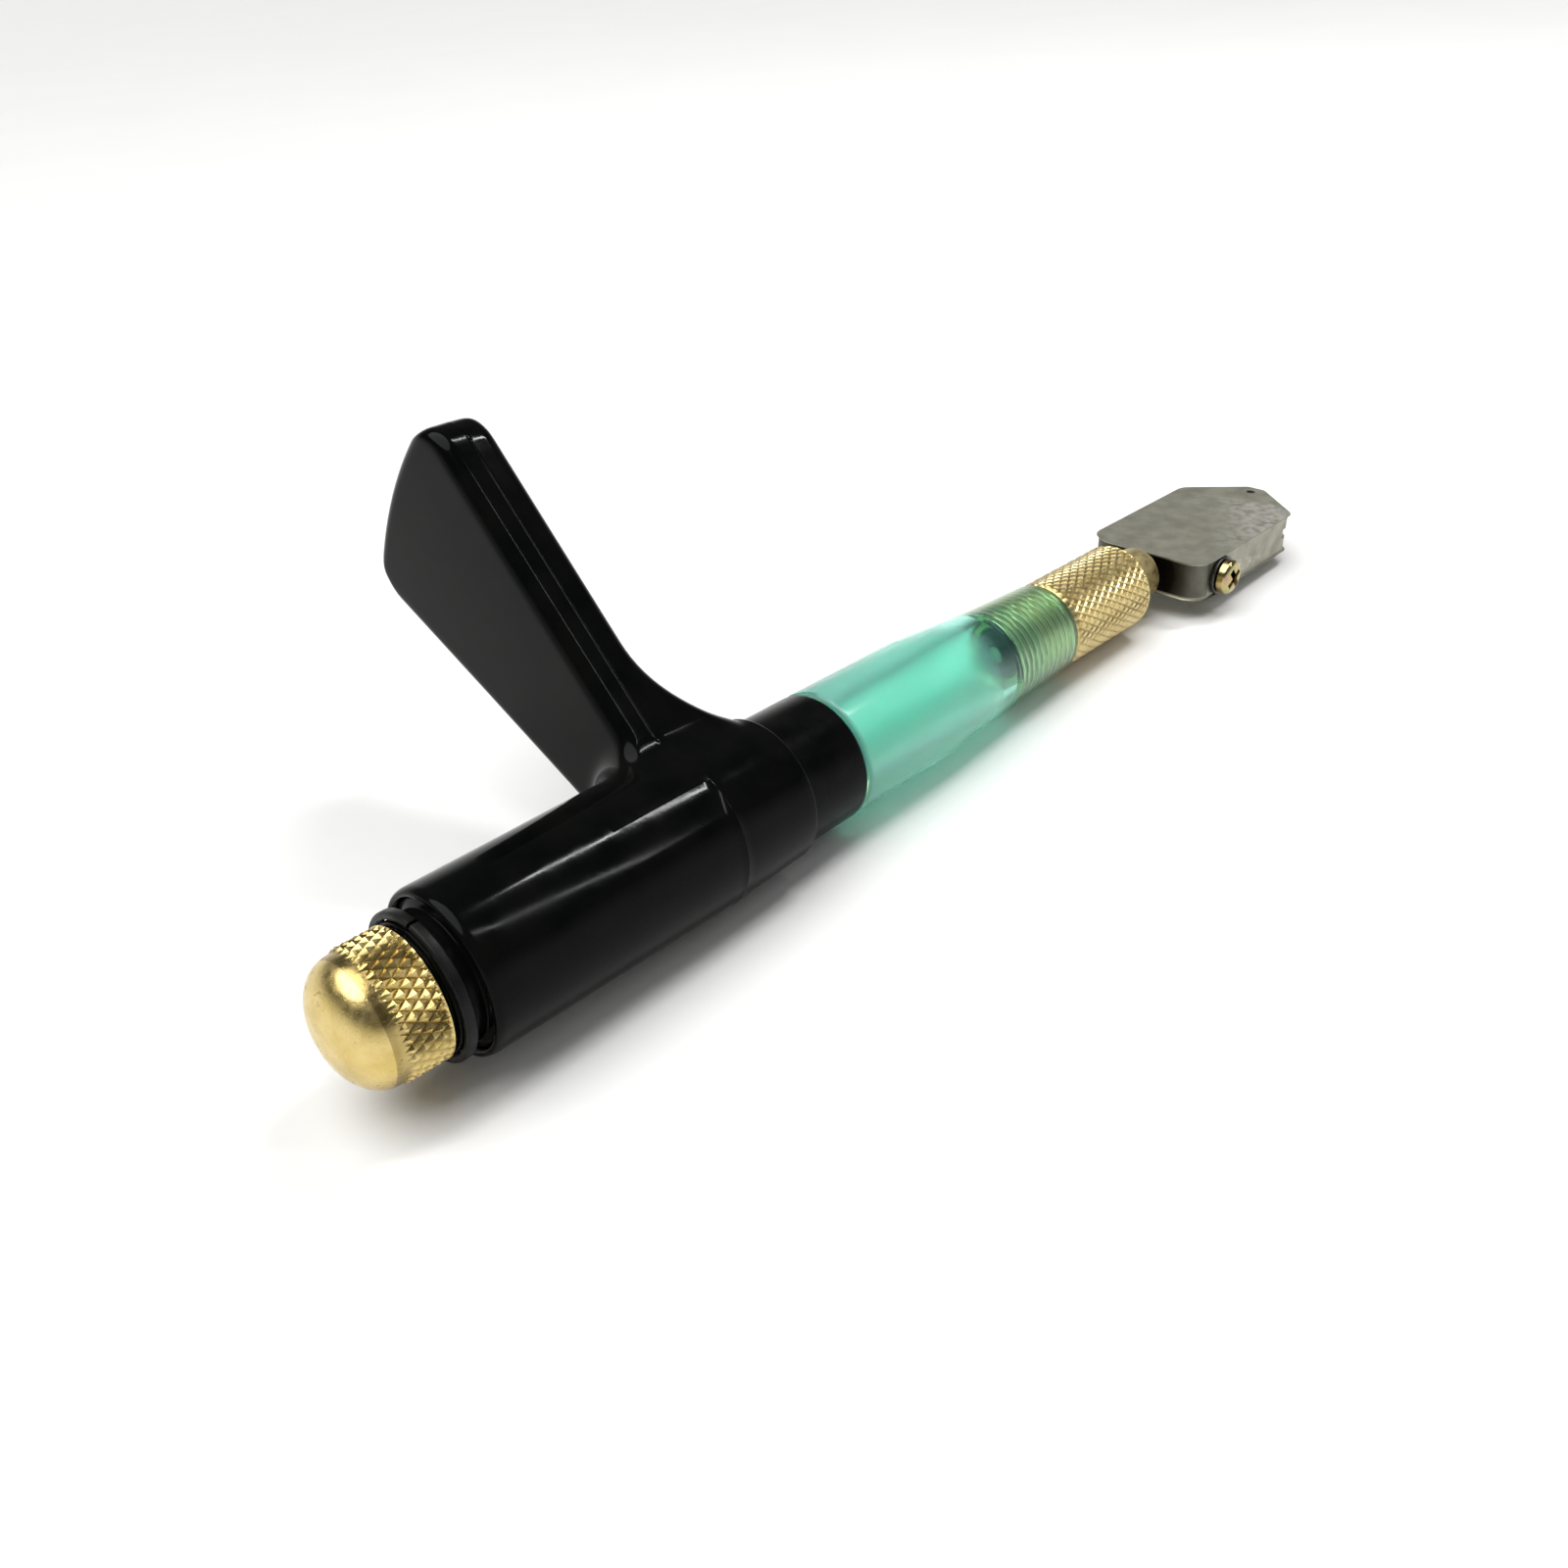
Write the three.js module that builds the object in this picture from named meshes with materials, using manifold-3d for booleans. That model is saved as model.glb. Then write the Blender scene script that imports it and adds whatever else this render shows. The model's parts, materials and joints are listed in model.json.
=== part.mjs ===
// Oil-fed glass cutter with a pistol-grip saddle, lying on its saddle and its ferrule.
// Everything is drawn along the tool's own axis, X from the filler cap to the cutting wheel, with
// station 0 at the rear face of the handle sleeve. The last group lays it down with the floor at Z = 0.
import * as THREE from 'three';
import { mergeVertices } from 'three/addons/utils/BufferGeometryUtils.js';
import Module from 'manifold-3d';

const wasm = await Module();
wasm.setup();

// ---------------------------------------------------------------- driving dimensions (mm)

const END_GAP = 0.3;
const SLIDE_GAP = 0.2;
const ROUND_SEGMENTS = 48;
const SMALL_SEGMENTS = 32;
const SCREW_SEGMENTS = 24;
const PIN_SEGMENTS = 16;

const SLEEVE_RADIUS = 6.95;
const SLEEVE_LENGTH = 48.5;
const SLEEVE_WALL = 1.4;
const SLEEVE_EDGE = 0.6;
const NECK_DEPTH = 0.85;
const NECK_LENGTH = 2.6;
const NECK_CHAMFER = 0.3;
const RETAINING_RING_LENGTH = 1.1;
const RETAINING_RING_EDGE = 0.25;
const RETAINING_RING_STATION = 0.1;

const BARREL_BORE = 3.9;
const BARREL_STRAIGHT = 15.5;
const BARREL_TAPER = 14.0;
const BARREL_NECK_RADIUS = 5.95;
const BARREL_NOSE = 10.0;
const BARREL_FRONT_RADIUS = 5.6;
const BARREL_EDGE = 0.5;
const BARREL_THREAD_RUNOUT = 1.0;
const BARREL_THREAD_CHAMFER = 0.4;

const CAP_INSET = 0.79;
const CAP_KNURL_LENGTH = 4.9;
const CAP_DOME_LENGTH = 3.3;
const CAP_STEM_LENGTH = 6.4;
const CAP_KNURL_DEPTH = 0.15;
const CAP_EDGE = 0.3;
const CAP_GASKET_THICKNESS = 0.7;

const FERRULE_RADIUS = 5.45;
const FERRULE_KNURL_LENGTH = 16.0;
const FERRULE_EDGE = 0.35;
const SHANK_LENGTH = 11.0;
const SHANK_WALL = 0.95;
const COLLAR_RADIUS = 3.5;
const COLLAR_LENGTH = 5.6;
const CHAMBER_DEPTH = 10.6;
const FERRULE_GASKET_THICKNESS = 0.6;
const FERRULE_GASKET_WIDTH = 0.7;
const FERRULE_GASKET_GAP = 0.05;

const POST_RADIUS = 1.85;
const POST_IN_HEAD = 9.7;
const POST_OIL_BORE = 0.5;
const POST_GROOVE_DEPTH = 0.55;
const POST_EDGE = 0.3;
const POST_OIL_BORE_FLOOR = 1.0;
const POST_PRESS_TRAVEL = 0.6;
const FLANGE_THICKNESS = 0.8;
const SEAL_WIRE_RADIUS = 0.4;
const SEAL_POST_GAP = 0.1;
const SEAL_END_GAP = 0.15;
const SPRING_WIRE_RADIUS = 0.3;
const SPRING_TURNS = 7;
const SPRING_STEPS_PER_TURN = 9;
const PLUG_LENGTH = 3.6;
const PLUG_PROUD = 0.5;
const PLUG_EDGE = 0.4;
const WICK_RADIUS = 0.95;
const WICK_INSET = 0.2;
const WICK_PROUD = 0.4;

const HEAD_GAP = 1.7;
const HEAD_WIDTH = 16.2;
const HEAD_THICKNESS = 5.1;
const HEAD_SIDE_LENGTH = 23.9;
const HEAD_POINT_LENGTH = 6.0;
const HEAD_REAR_CORNER = 2.6;
const HEAD_FRONT_CORNER = 0.9;
const HEAD_TIP_HALF_WIDTH = 1.1;
const HEAD_BEVEL = 0.3;
const SLOT_THICKNESS = 1.3;
const SLOT_PAST_SHOULDER = 1.2;
const OIL_WAY_RADIUS = 0.665;
const WHEEL_RADIUS = 2.0;
const WHEEL_THICKNESS = 0.9;
const WHEEL_PROUD = 0.6;
const AXLE_RADIUS = 0.4;
const AXLE_INSET = 0.1;

const SCREW_STATION_IN_HEAD = 4.9;
const SCREW_THREAD_RADIUS = 1.0;
const SCREW_TIP_RADIUS = 0.6;
const SCREW_TIP_CONE = 0.4;
const SCREW_HEAD_RADIUS = 2.25;
const SCREW_HEAD_HEIGHT = 1.5;
const SCREW_RIM_SHARE = 0.55;
const SCREW_RECESS_DEPTH = 0.8;
const SCREW_RECESS_WIDTH = 0.55;
const SCREW_RECESS_SPAN = 2.59;
const WASHER_RADIUS = 2.5;
const WASHER_THICKNESS = 0.5;
const WASHER_GAP = 0.15;

const SADDLE_REAR = 2.4;
const SADDLE_PARTING = 30.4;
const SADDLE_FRONT = 40.2;
const SADDLE_REAR_RISE = 0.9;
const SADDLE_PARTING_RISE = 1.1;
const SADDLE_FRONT_RISE = 0.7;
const SADDLE_EDGE = 0.5;

const FIN_LEAN = THREE.MathUtils.degToRad(35.3);
const FIN_REACH = 46.05;
const FIN_AXIS_HALF_WIDTH = 4.45;
const FIN_OFFSET = -0.95;
const FIN_FLARE = THREE.MathUtils.degToRad(9.8);
const FIN_BEHIND_PARTING = 3.2;
const FIN_AHEAD_PARTING = 3.1;
const FIN_CORNER = 4.2;
const FIN_EDGE = 1.4;
const FIN_ROOT_FILLET = 3.0;
const FIN_SWEEP_LENGTH = 6.2;
const FIN_SWEEP_HEIGHT = 11.0;
const FIN_SWEEP_POWER = 2.2;
const FIN_ROOT_SUNK = 0.55;
const FIN_ROOT_STEPS = 9;
const FIN_TIP_STEPS = 6;

// ---------------------------------------------------------------- stations along the axis (mm)

const sleeveBore = SLEEVE_RADIUS - SLEEVE_WALL;
const saddleRearRadius = SLEEVE_RADIUS + SADDLE_REAR_RISE;
const saddlePartingRadius = SLEEVE_RADIUS + SADDLE_PARTING_RISE;
const saddleFrontRadius = SLEEVE_RADIUS + SADDLE_FRONT_RISE;
const barrelRear = CAP_GASKET_THICKNESS + END_GAP;
const barrelShoulder = SLEEVE_LENGTH + END_GAP;
const barrelTaperStart = barrelShoulder + BARREL_STRAIGHT;
const barrelTaperEnd = barrelTaperStart + BARREL_TAPER;
const barrelFront = barrelTaperEnd + BARREL_NOSE;
const ferruleStation = barrelFront + END_GAP;
const collarFront = FERRULE_KNURL_LENGTH + COLLAR_LENGTH;
const headStation = ferruleStation + collarFront + HEAD_GAP;
const headPoint = HEAD_SIDE_LENGTH + HEAD_POINT_LENGTH;
const wheelStation = headPoint + WHEEL_PROUD - WHEEL_RADIUS;
const postBore = POST_RADIUS + END_GAP;
const capRadius = SLEEVE_RADIUS - CAP_INSET;
const chamberRadius = POST_RADIUS + SEAL_POST_GAP + 2 * SEAL_WIRE_RADIUS + END_GAP;
const shankRadius = chamberRadius + SHANK_WALL;
const barrelThreadRadius = shankRadius + SLIDE_GAP;
const plugRear = -SHANK_LENGTH - PLUG_PROUD;
const plugFront = plugRear + PLUG_LENGTH;
const sealStation = CHAMBER_DEPTH - SEAL_END_GAP - SEAL_WIRE_RADIUS;
const flangeFront = sealStation - SEAL_WIRE_RADIUS - SEAL_POST_GAP;
const flangeRear = flangeFront - FLANGE_THICKNESS;

// ---------------------------------------------------------------- finishes

const glossBlack = new THREE.MeshStandardMaterial({ color: 0x0a0c0c, roughness: 0.12, metalness: 0.0 });
const rubberBlack = new THREE.MeshStandardMaterial({ color: 0x111111, roughness: 0.7, metalness: 0.0 });
const brass = new THREE.MeshStandardMaterial({ color: 0xd8b85c, roughness: 0.3, metalness: 1.0 });
const headSteel = new THREE.MeshStandardMaterial({ color: 0x8f8d84, roughness: 0.45, metalness: 1.0 });
const zincYellow = new THREE.MeshStandardMaterial({ color: 0xe6d27a, roughness: 0.25, metalness: 1.0 });
const darkSteel = new THREE.MeshStandardMaterial({ color: 0x3b3b3a, roughness: 0.4, metalness: 1.0 });
const carbide = new THREE.MeshStandardMaterial({ color: 0x6a6c6e, roughness: 0.2, metalness: 1.0 });
const felt = new THREE.MeshStandardMaterial({ color: 0xe8e2d0, roughness: 0.95, metalness: 0.0 });
const greenPlastic = new THREE.MeshStandardMaterial({
  color: 0x55cda5,
  roughness: 0.15,
  metalness: 0.0,
  transparent: true,
  opacity: 0.6,
});

// ---------------------------------------------------------------- solids

/** Turns every face outward, judged by the sign of the enclosed volume. */
function facingOut(geometry) {
  const point = geometry.getAttribute('position');
  const index = geometry.index.array;
  const [a, b, c] = [new THREE.Vector3(), new THREE.Vector3(), new THREE.Vector3()];
  let volume = 0;
  for (let i = 0; i < index.length; i += 3) {
    a.fromBufferAttribute(point, index[i]);
    b.fromBufferAttribute(point, index[i + 1]);
    c.fromBufferAttribute(point, index[i + 2]);
    volume += a.dot(b.cross(c));
  }
  if (volume < 0) {
    for (let i = 0; i < index.length; i += 3) {
      [index[i + 1], index[i + 2]] = [index[i + 2], index[i + 1]];
    }
  }
  return geometry;
}

/** Joins shared corners and drops the slivers that this leaves. */
function welded(geometry) {
  const bare = geometry.clone();
  for (const name of Object.keys(bare.attributes)) {
    if (name !== 'position') bare.deleteAttribute(name);
  }
  const merged = mergeVertices(bare, 1e-4);
  const kept = [];
  const index = merged.index.array;
  for (let i = 0; i < index.length; i += 3) {
    const [p, q, r] = [index[i], index[i + 1], index[i + 2]];
    if (p !== q && q !== r && r !== p) kept.push(p, q, r);
  }
  merged.setIndex(kept);
  return facingOut(merged);
}

/** A solid of revolution about X from [station, radius] corners, closed back to the first corner. */
function turned(corners, segments = ROUND_SEGMENTS) {
  const outline = corners.map(([station, radius]) => new THREE.Vector2(radius, station));
  const touchesAxis = corners[0][1] === 0 && corners[corners.length - 1][1] === 0;
  if (!touchesAxis) outline.push(outline[0].clone());
  const lathe = new THREE.LatheGeometry(outline, segments);
  lathe.rotateZ(-Math.PI / 2);
  return welded(lathe);
}

/** A plain rod along X. */
function rod(from, to, radius, segments = SMALL_SEGMENTS) {
  return turned([[from, 0], [from, radius], [to, radius], [to, 0]], segments);
}

/** A ring of round section about X. */
function oRing(ringRadius, wireRadius) {
  const torus = new THREE.TorusGeometry(ringRadius, wireRadius, 8, SMALL_SEGMENTS);
  torus.rotateY(Math.PI / 2);
  return welded(torus);
}

function toManifold(geometry) {
  const closed = welded(geometry);
  return new wasm.Manifold(new wasm.Mesh({
    numProp: 3,
    vertProperties: new Float32Array(closed.getAttribute('position').array),
    triVerts: new Uint32Array(closed.index.array),
  }));
}

function toGeometry(solid) {
  const mesh = solid.getMesh();
  const geometry = new THREE.BufferGeometry();
  geometry.setAttribute('position', new THREE.BufferAttribute(new Float32Array(mesh.vertProperties), 3));
  geometry.setIndex(Array.from(mesh.triVerts));
  geometry.computeVertexNormals();
  return geometry;
}

/** The base with each of the tools taken away. */
function cut(base, ...tools) {
  return toGeometry(tools.reduce((left, tool) => left.subtract(toManifold(tool)), toManifold(base)));
}

/** The two shapes as one solid. */
function joined(first, second) {
  return toGeometry(toManifold(first).add(toManifold(second)));
}

function part(name, geometry, material, station = 0) {
  const mesh = new THREE.Mesh(geometry, material);
  mesh.name = name;
  mesh.position.x = station;
  return mesh;
}

// ---------------------------------------------------------------- handle

/** Black tube that the saddle rides on, with a neck behind the saddle that holds the retaining ring. */
function handleSleeve() {
  const neck = SLEEVE_RADIUS - NECK_DEPTH;
  return turned([
    [0, sleeveBore],
    [0, neck],
    [NECK_LENGTH, neck],
    [NECK_LENGTH + NECK_CHAMFER, SLEEVE_RADIUS],
    [SLEEVE_LENGTH - SLEEVE_EDGE, SLEEVE_RADIUS],
    [SLEEVE_LENGTH - SLEEVE_EDGE * 0.3, SLEEVE_RADIUS - SLEEVE_EDGE * 0.3],
    [SLEEVE_LENGTH, SLEEVE_RADIUS - SLEEVE_EDGE],
    [SLEEVE_LENGTH, sleeveBore],
  ]);
}

/** Black ring round the rear of the neck, behind the saddle. */
function retainingRing() {
  const inner = SLEEVE_RADIUS - NECK_DEPTH + SLIDE_GAP;
  const outer = SLEEVE_RADIUS;
  const edge = RETAINING_RING_EDGE;
  return turned([
    [0, inner],
    [0, outer - edge],
    [edge, outer],
    [RETAINING_RING_LENGTH - edge, outer],
    [RETAINING_RING_LENGTH, outer - edge],
    [RETAINING_RING_LENGTH, inner],
  ]);
}

/** Translucent oil reservoir: a spigot inside the sleeve, then a body that tapers to the ferrule. */
function reservoirBarrel() {
  const spigot = sleeveBore - SLIDE_GAP;
  const threadRear = ferruleStation - SHANK_LENGTH - BARREL_THREAD_RUNOUT;
  return turned([
    [barrelRear, BARREL_BORE],
    [barrelRear, spigot],
    [barrelShoulder, spigot],
    [barrelShoulder, SLEEVE_RADIUS - BARREL_EDGE],
    [barrelShoulder + BARREL_EDGE, SLEEVE_RADIUS],
    [barrelTaperStart, SLEEVE_RADIUS],
    [barrelTaperEnd, BARREL_NECK_RADIUS],
    [barrelFront - BARREL_EDGE, BARREL_FRONT_RADIUS],
    [barrelFront, BARREL_FRONT_RADIUS - BARREL_EDGE],
    [barrelFront, barrelThreadRadius],
    [threadRear, barrelThreadRadius],
    [threadRear - BARREL_THREAD_CHAMFER, BARREL_BORE],
  ]);
}

/** Knurled brass filler cap with a domed end and a stem that screws into the reservoir. */
function fillerCap() {
  const edge = CAP_EDGE;
  const stem = BARREL_BORE - END_GAP;
  const knurlRear = -CAP_KNURL_LENGTH;
  const domeRadius = capRadius - CAP_KNURL_DEPTH;
  const dome = [];
  const steps = 8;
  for (let i = 0; i <= steps; i += 1) {
    const angle = (i / steps) * Math.PI / 2;
    const radius = i === steps ? 0 : domeRadius * Math.cos(angle);
    dome.push([knurlRear - CAP_DOME_LENGTH * Math.sin(angle), radius]);
  }
  return turned([
    ...dome.reverse(),
    [knurlRear, capRadius],
    [-edge, capRadius],
    [0, capRadius - edge],
    [0, stem],
    [CAP_STEM_LENGTH - edge, stem],
    [CAP_STEM_LENGTH, stem - edge],
    [CAP_STEM_LENGTH, 0],
  ]);
}

/** Flat rubber ring between the cap and the rear end of the reservoir. */
function capGasket() {
  const inner = BARREL_BORE - END_GAP + SLIDE_GAP;
  const outer = sleeveBore - END_GAP;
  return turned([[0, inner], [0, outer], [CAP_GASKET_THICKNESS, outer], [CAP_GASKET_THICKNESS, inner]]);
}

// ---------------------------------------------------------------- saddle

/** Half width of the fin at a given distance from the tool's axis. */
function finHalfWidth(reach) {
  const straight = FIN_AXIS_HALF_WIDTH + reach * Math.tan(FIN_FLARE);
  const intoCorner = reach - (FIN_REACH - FIN_CORNER);
  if (intoCorner <= 0) return straight;
  const inset = FIN_CORNER - Math.sqrt(Math.max(0, FIN_CORNER ** 2 - intoCorner ** 2));
  return straight - inset;
}

/** How far a root fillet of the given size has spread at a given height above the sleeve. */
function filletSpread(height, size) {
  if (height >= size) return 0;
  const left = size - Math.max(height, 0);
  return size - Math.sqrt(size ** 2 - left ** 2);
}

/** How far the front of the fin has swept forward at a given height above the sleeve. */
function frontSweep(height) {
  const left = 1 - THREE.MathUtils.clamp(height / FIN_SWEEP_HEIGHT, 0, 1);
  return FIN_SWEEP_LENGTH * left ** FIN_SWEEP_POWER;
}

/** One ring of the fin: a rounded rectangle, bent to the circle about the axis at this reach. */
function finRing(reach, shrink) {
  const height = reach - saddlePartingRadius;
  const rear = SADDLE_PARTING - FIN_BEHIND_PARTING - filletSpread(height, FIN_ROOT_FILLET) + shrink;
  const front = SADDLE_PARTING + FIN_AHEAD_PARTING + frontSweep(height) - shrink;
  const half = finHalfWidth(reach) - shrink;
  const edge = Math.min(FIN_EDGE, half * 0.6, (front - rear) * 0.4);
  const ring = [];
  const arcSteps = 3;
  const corners = [[front, half, 0], [rear, half, 1], [rear, -half, 2], [front, -half, 3]];
  for (const [station, side, quarter] of corners) {
    const centreX = station + (station === front ? -edge : edge);
    const centreSide = side + (side > 0 ? -edge : edge);
    for (let i = 0; i <= arcSteps; i += 1) {
      const angle = (quarter + i / arcSteps) * Math.PI / 2;
      const across = (FIN_OFFSET + centreSide + edge * Math.sin(angle)) / reach;
      const lean = FIN_LEAN + Math.asin(THREE.MathUtils.clamp(across, -0.99, 0.99));
      const x = centreX + edge * Math.cos(angle);
      ring.push(new THREE.Vector3(x, reach * Math.cos(lean), reach * Math.sin(lean)));
    }
  }
  return ring;
}

/** The fin as a loft of rings from inside the sleeve wall out to its rounded tip. */
function finSolid() {
  const start = saddlePartingRadius - FIN_ROOT_SUNK;
  const rings = [];
  for (let i = 0; i <= FIN_ROOT_STEPS; i += 1) {
    const share = (i / FIN_ROOT_STEPS) ** 1.5;
    rings.push(finRing(start + share * (FIN_SWEEP_HEIGHT + 1), 0));
  }
  rings.push(finRing(FIN_REACH - FIN_CORNER, 0));
  for (let i = 1; i <= FIN_TIP_STEPS; i += 1) {
    const angle = (i / FIN_TIP_STEPS) * Math.PI / 2;
    const rounding = i === FIN_TIP_STEPS ? 0.92 : Math.sin(angle);
    const reach = FIN_REACH - FIN_CORNER * (1 - rounding);
    const shrink = FIN_EDGE * 0.8 * (1 - Math.cos(angle * 0.9)) * (i / FIN_TIP_STEPS);
    rings.push(finRing(Math.min(reach, FIN_REACH), shrink));
  }
  const points = rings.flat();
  const around = rings[0].length;
  const faces = [];
  for (let row = 0; row < rings.length - 1; row += 1) {
    for (let i = 0; i < around; i += 1) {
      const [a, b] = [row * around + i, row * around + (i + 1) % around];
      faces.push(a, b, a + around, b, b + around, a + around);
    }
  }
  for (const [first, reverse] of [[0, true], [(rings.length - 1) * around, false]]) {
    for (let i = 1; i < around - 1; i += 1) {
      const fan = [first, first + i, first + i + 1];
      faces.push(...(reverse ? fan.reverse() : fan));
    }
  }
  const loft = new THREE.BufferGeometry();
  loft.setAttribute('position', new THREE.Float32BufferAttribute(points.flatMap((p) => [p.x, p.y, p.z]), 3));
  loft.setIndex(faces);
  return loft;
}

/** Moulded saddle: a sleeve with draft both ways from its parting ring, and the fin for the hand. */
function saddleGrip() {
  const round = SADDLE_EDGE;
  const shell = turned([
    [SADDLE_REAR, 0],
    [SADDLE_REAR, saddleRearRadius - round],
    [SADDLE_REAR + round * 0.3, saddleRearRadius - round * 0.3],
    [SADDLE_REAR + round, saddleRearRadius],
    [SADDLE_PARTING, saddlePartingRadius],
    [SADDLE_FRONT - round, saddleFrontRadius],
    [SADDLE_FRONT - round * 0.3, saddleFrontRadius - round * 0.3],
    [SADDLE_FRONT, saddleFrontRadius - round],
    [SADDLE_FRONT, 0],
  ]);
  const bore = rod(SADDLE_REAR - 1, SADDLE_FRONT + 1, SLEEVE_RADIUS + SLIDE_GAP, ROUND_SEGMENTS);
  return cut(joined(shell, finSolid()), bore);
}

// ---------------------------------------------------------------- ferrule and oil valve

/** Knurled brass ferrule: a threaded shank in the reservoir, a grip, and a collar for the post. */
function ferrule() {
  const edge = FERRULE_EDGE;
  const recessDepth = FERRULE_GASKET_THICKNESS + SLIDE_GAP;
  const recessRadius = shankRadius + FERRULE_GASKET_WIDTH + SLIDE_GAP;
  return turned([
    [-SHANK_LENGTH, chamberRadius],
    [-SHANK_LENGTH, shankRadius - edge],
    [-SHANK_LENGTH + edge, shankRadius],
    [recessDepth, shankRadius],
    [recessDepth, recessRadius],
    [0, recessRadius],
    [0, FERRULE_RADIUS - edge],
    [edge, FERRULE_RADIUS],
    [FERRULE_KNURL_LENGTH - edge, FERRULE_RADIUS],
    [FERRULE_KNURL_LENGTH, FERRULE_RADIUS - edge],
    [FERRULE_KNURL_LENGTH, COLLAR_RADIUS],
    [collarFront - edge, COLLAR_RADIUS],
    [collarFront, COLLAR_RADIUS - edge],
    [collarFront, postBore],
    [CHAMBER_DEPTH, postBore],
    [CHAMBER_DEPTH, chamberRadius],
  ]);
}

/** Flat ring in the ferrule's recess, against the front end of the reservoir. */
function ferruleGasket() {
  const inner = shankRadius + SLIDE_GAP;
  const outer = shankRadius + FERRULE_GASKET_WIDTH;
  const front = FERRULE_GASKET_THICKNESS;
  return turned([[0, inner], [0, outer], [front, outer], [front, inner]]);
}

/** Black plug that closes the rear of the ferrule, holds the spring and lets oil in past its wick. */
function springPlug() {
  const inner = WICK_RADIUS + SLIDE_GAP;
  const outer = chamberRadius - SLIDE_GAP;
  const edge = PLUG_EDGE;
  return turned([
    [plugRear, inner],
    [plugRear, outer - edge],
    [plugRear + edge, outer],
    [plugFront, outer],
    [plugFront, inner],
  ], SMALL_SEGMENTS);
}

/** Felt wick through the middle of the plug. */
function oilWick() {
  return rod(plugRear + WICK_INSET, plugFront + WICK_PROUD, WICK_RADIUS, PIN_SEGMENTS);
}

/** Spring behind the post. Its front end leaves the post's press travel free. */
function returnSpring() {
  const rear = plugFront + END_GAP + SPRING_WIRE_RADIUS;
  const front = flangeRear - POST_PRESS_TRAVEL - END_GAP - SPRING_WIRE_RADIUS;
  const coil = chamberRadius - END_GAP - SPRING_WIRE_RADIUS;
  const steps = SPRING_TURNS * SPRING_STEPS_PER_TURN;
  const path = [];
  for (let i = 0; i <= steps; i += 1) {
    const turn = (i / SPRING_STEPS_PER_TURN) * Math.PI * 2;
    const along = rear + (front - rear) * i / steps;
    path.push(new THREE.Vector3(along, coil * Math.cos(turn), coil * Math.sin(turn)));
  }
  const section = new THREE.Shape();
  section.absarc(0, 0, SPRING_WIRE_RADIUS, 0, Math.PI * 2, false);
  const wire = new THREE.ExtrudeGeometry(section, {
    steps,
    curveSegments: 5,
    bevelEnabled: false,
    extrudePath: new THREE.CatmullRomCurve3(path),
  });
  return welded(wire);
}

/** Steel post that the head swivels on, with a valve flange at its rear and an oil bore at its front. */
function swivelPost() {
  const screwStation = collarFront + HEAD_GAP + SCREW_STATION_IN_HEAD;
  const front = collarFront + HEAD_GAP + POST_IN_HEAD;
  const grooveHalf = SCREW_TIP_RADIUS + SLIDE_GAP;
  const grooveRadius = POST_RADIUS - POST_GROOVE_DEPTH;
  const flangeRadius = chamberRadius - END_GAP;
  return turned([
    [flangeRear, 0],
    [flangeRear, flangeRadius],
    [flangeFront, flangeRadius],
    [flangeFront, POST_RADIUS],
    [screwStation - grooveHalf, POST_RADIUS],
    [screwStation - grooveHalf, grooveRadius],
    [screwStation + grooveHalf, grooveRadius],
    [screwStation + grooveHalf, POST_RADIUS],
    [front - POST_EDGE, POST_RADIUS],
    [front, POST_RADIUS - POST_EDGE],
    [front, POST_OIL_BORE],
    [flangeFront + POST_OIL_BORE_FLOOR, POST_OIL_BORE],
    [flangeFront + POST_OIL_BORE_FLOOR, 0],
  ], SMALL_SEGMENTS);
}

/** Rubber ring on the post that closes the oil way while the wheel isn't pressed. */
function postSeal() {
  return oRing(POST_RADIUS + SEAL_POST_GAP + SEAL_WIRE_RADIUS, SEAL_WIRE_RADIUS);
}

// ---------------------------------------------------------------- cutting head

/** Outline of the head seen from above: square shoulders, then a point that holds the wheel. */
function headOutline() {
  const half = HEAD_WIDTH / 2 - HEAD_BEVEL;
  const rear = HEAD_BEVEL;
  const point = headPoint - HEAD_BEVEL;
  const corner = HEAD_REAR_CORNER;
  const round = HEAD_FRONT_CORNER;
  const outline = new THREE.Shape();
  outline.moveTo(rear, corner - half);
  outline.absarc(rear + corner, corner - half, corner, Math.PI, Math.PI * 1.5, false);
  outline.lineTo(HEAD_SIDE_LENGTH - round, -half);
  outline.quadraticCurveTo(HEAD_SIDE_LENGTH, -half, HEAD_SIDE_LENGTH + round * 0.7, -half + round * 0.85);
  outline.lineTo(point, -HEAD_TIP_HALF_WIDTH);
  outline.lineTo(point, HEAD_TIP_HALF_WIDTH);
  outline.lineTo(HEAD_SIDE_LENGTH + round * 0.7, half - round * 0.85);
  outline.quadraticCurveTo(HEAD_SIDE_LENGTH, half, HEAD_SIDE_LENGTH - round, half);
  outline.lineTo(rear + corner, half);
  outline.absarc(rear + corner, half - corner, corner, Math.PI / 2, Math.PI, false);
  return outline;
}

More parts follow.
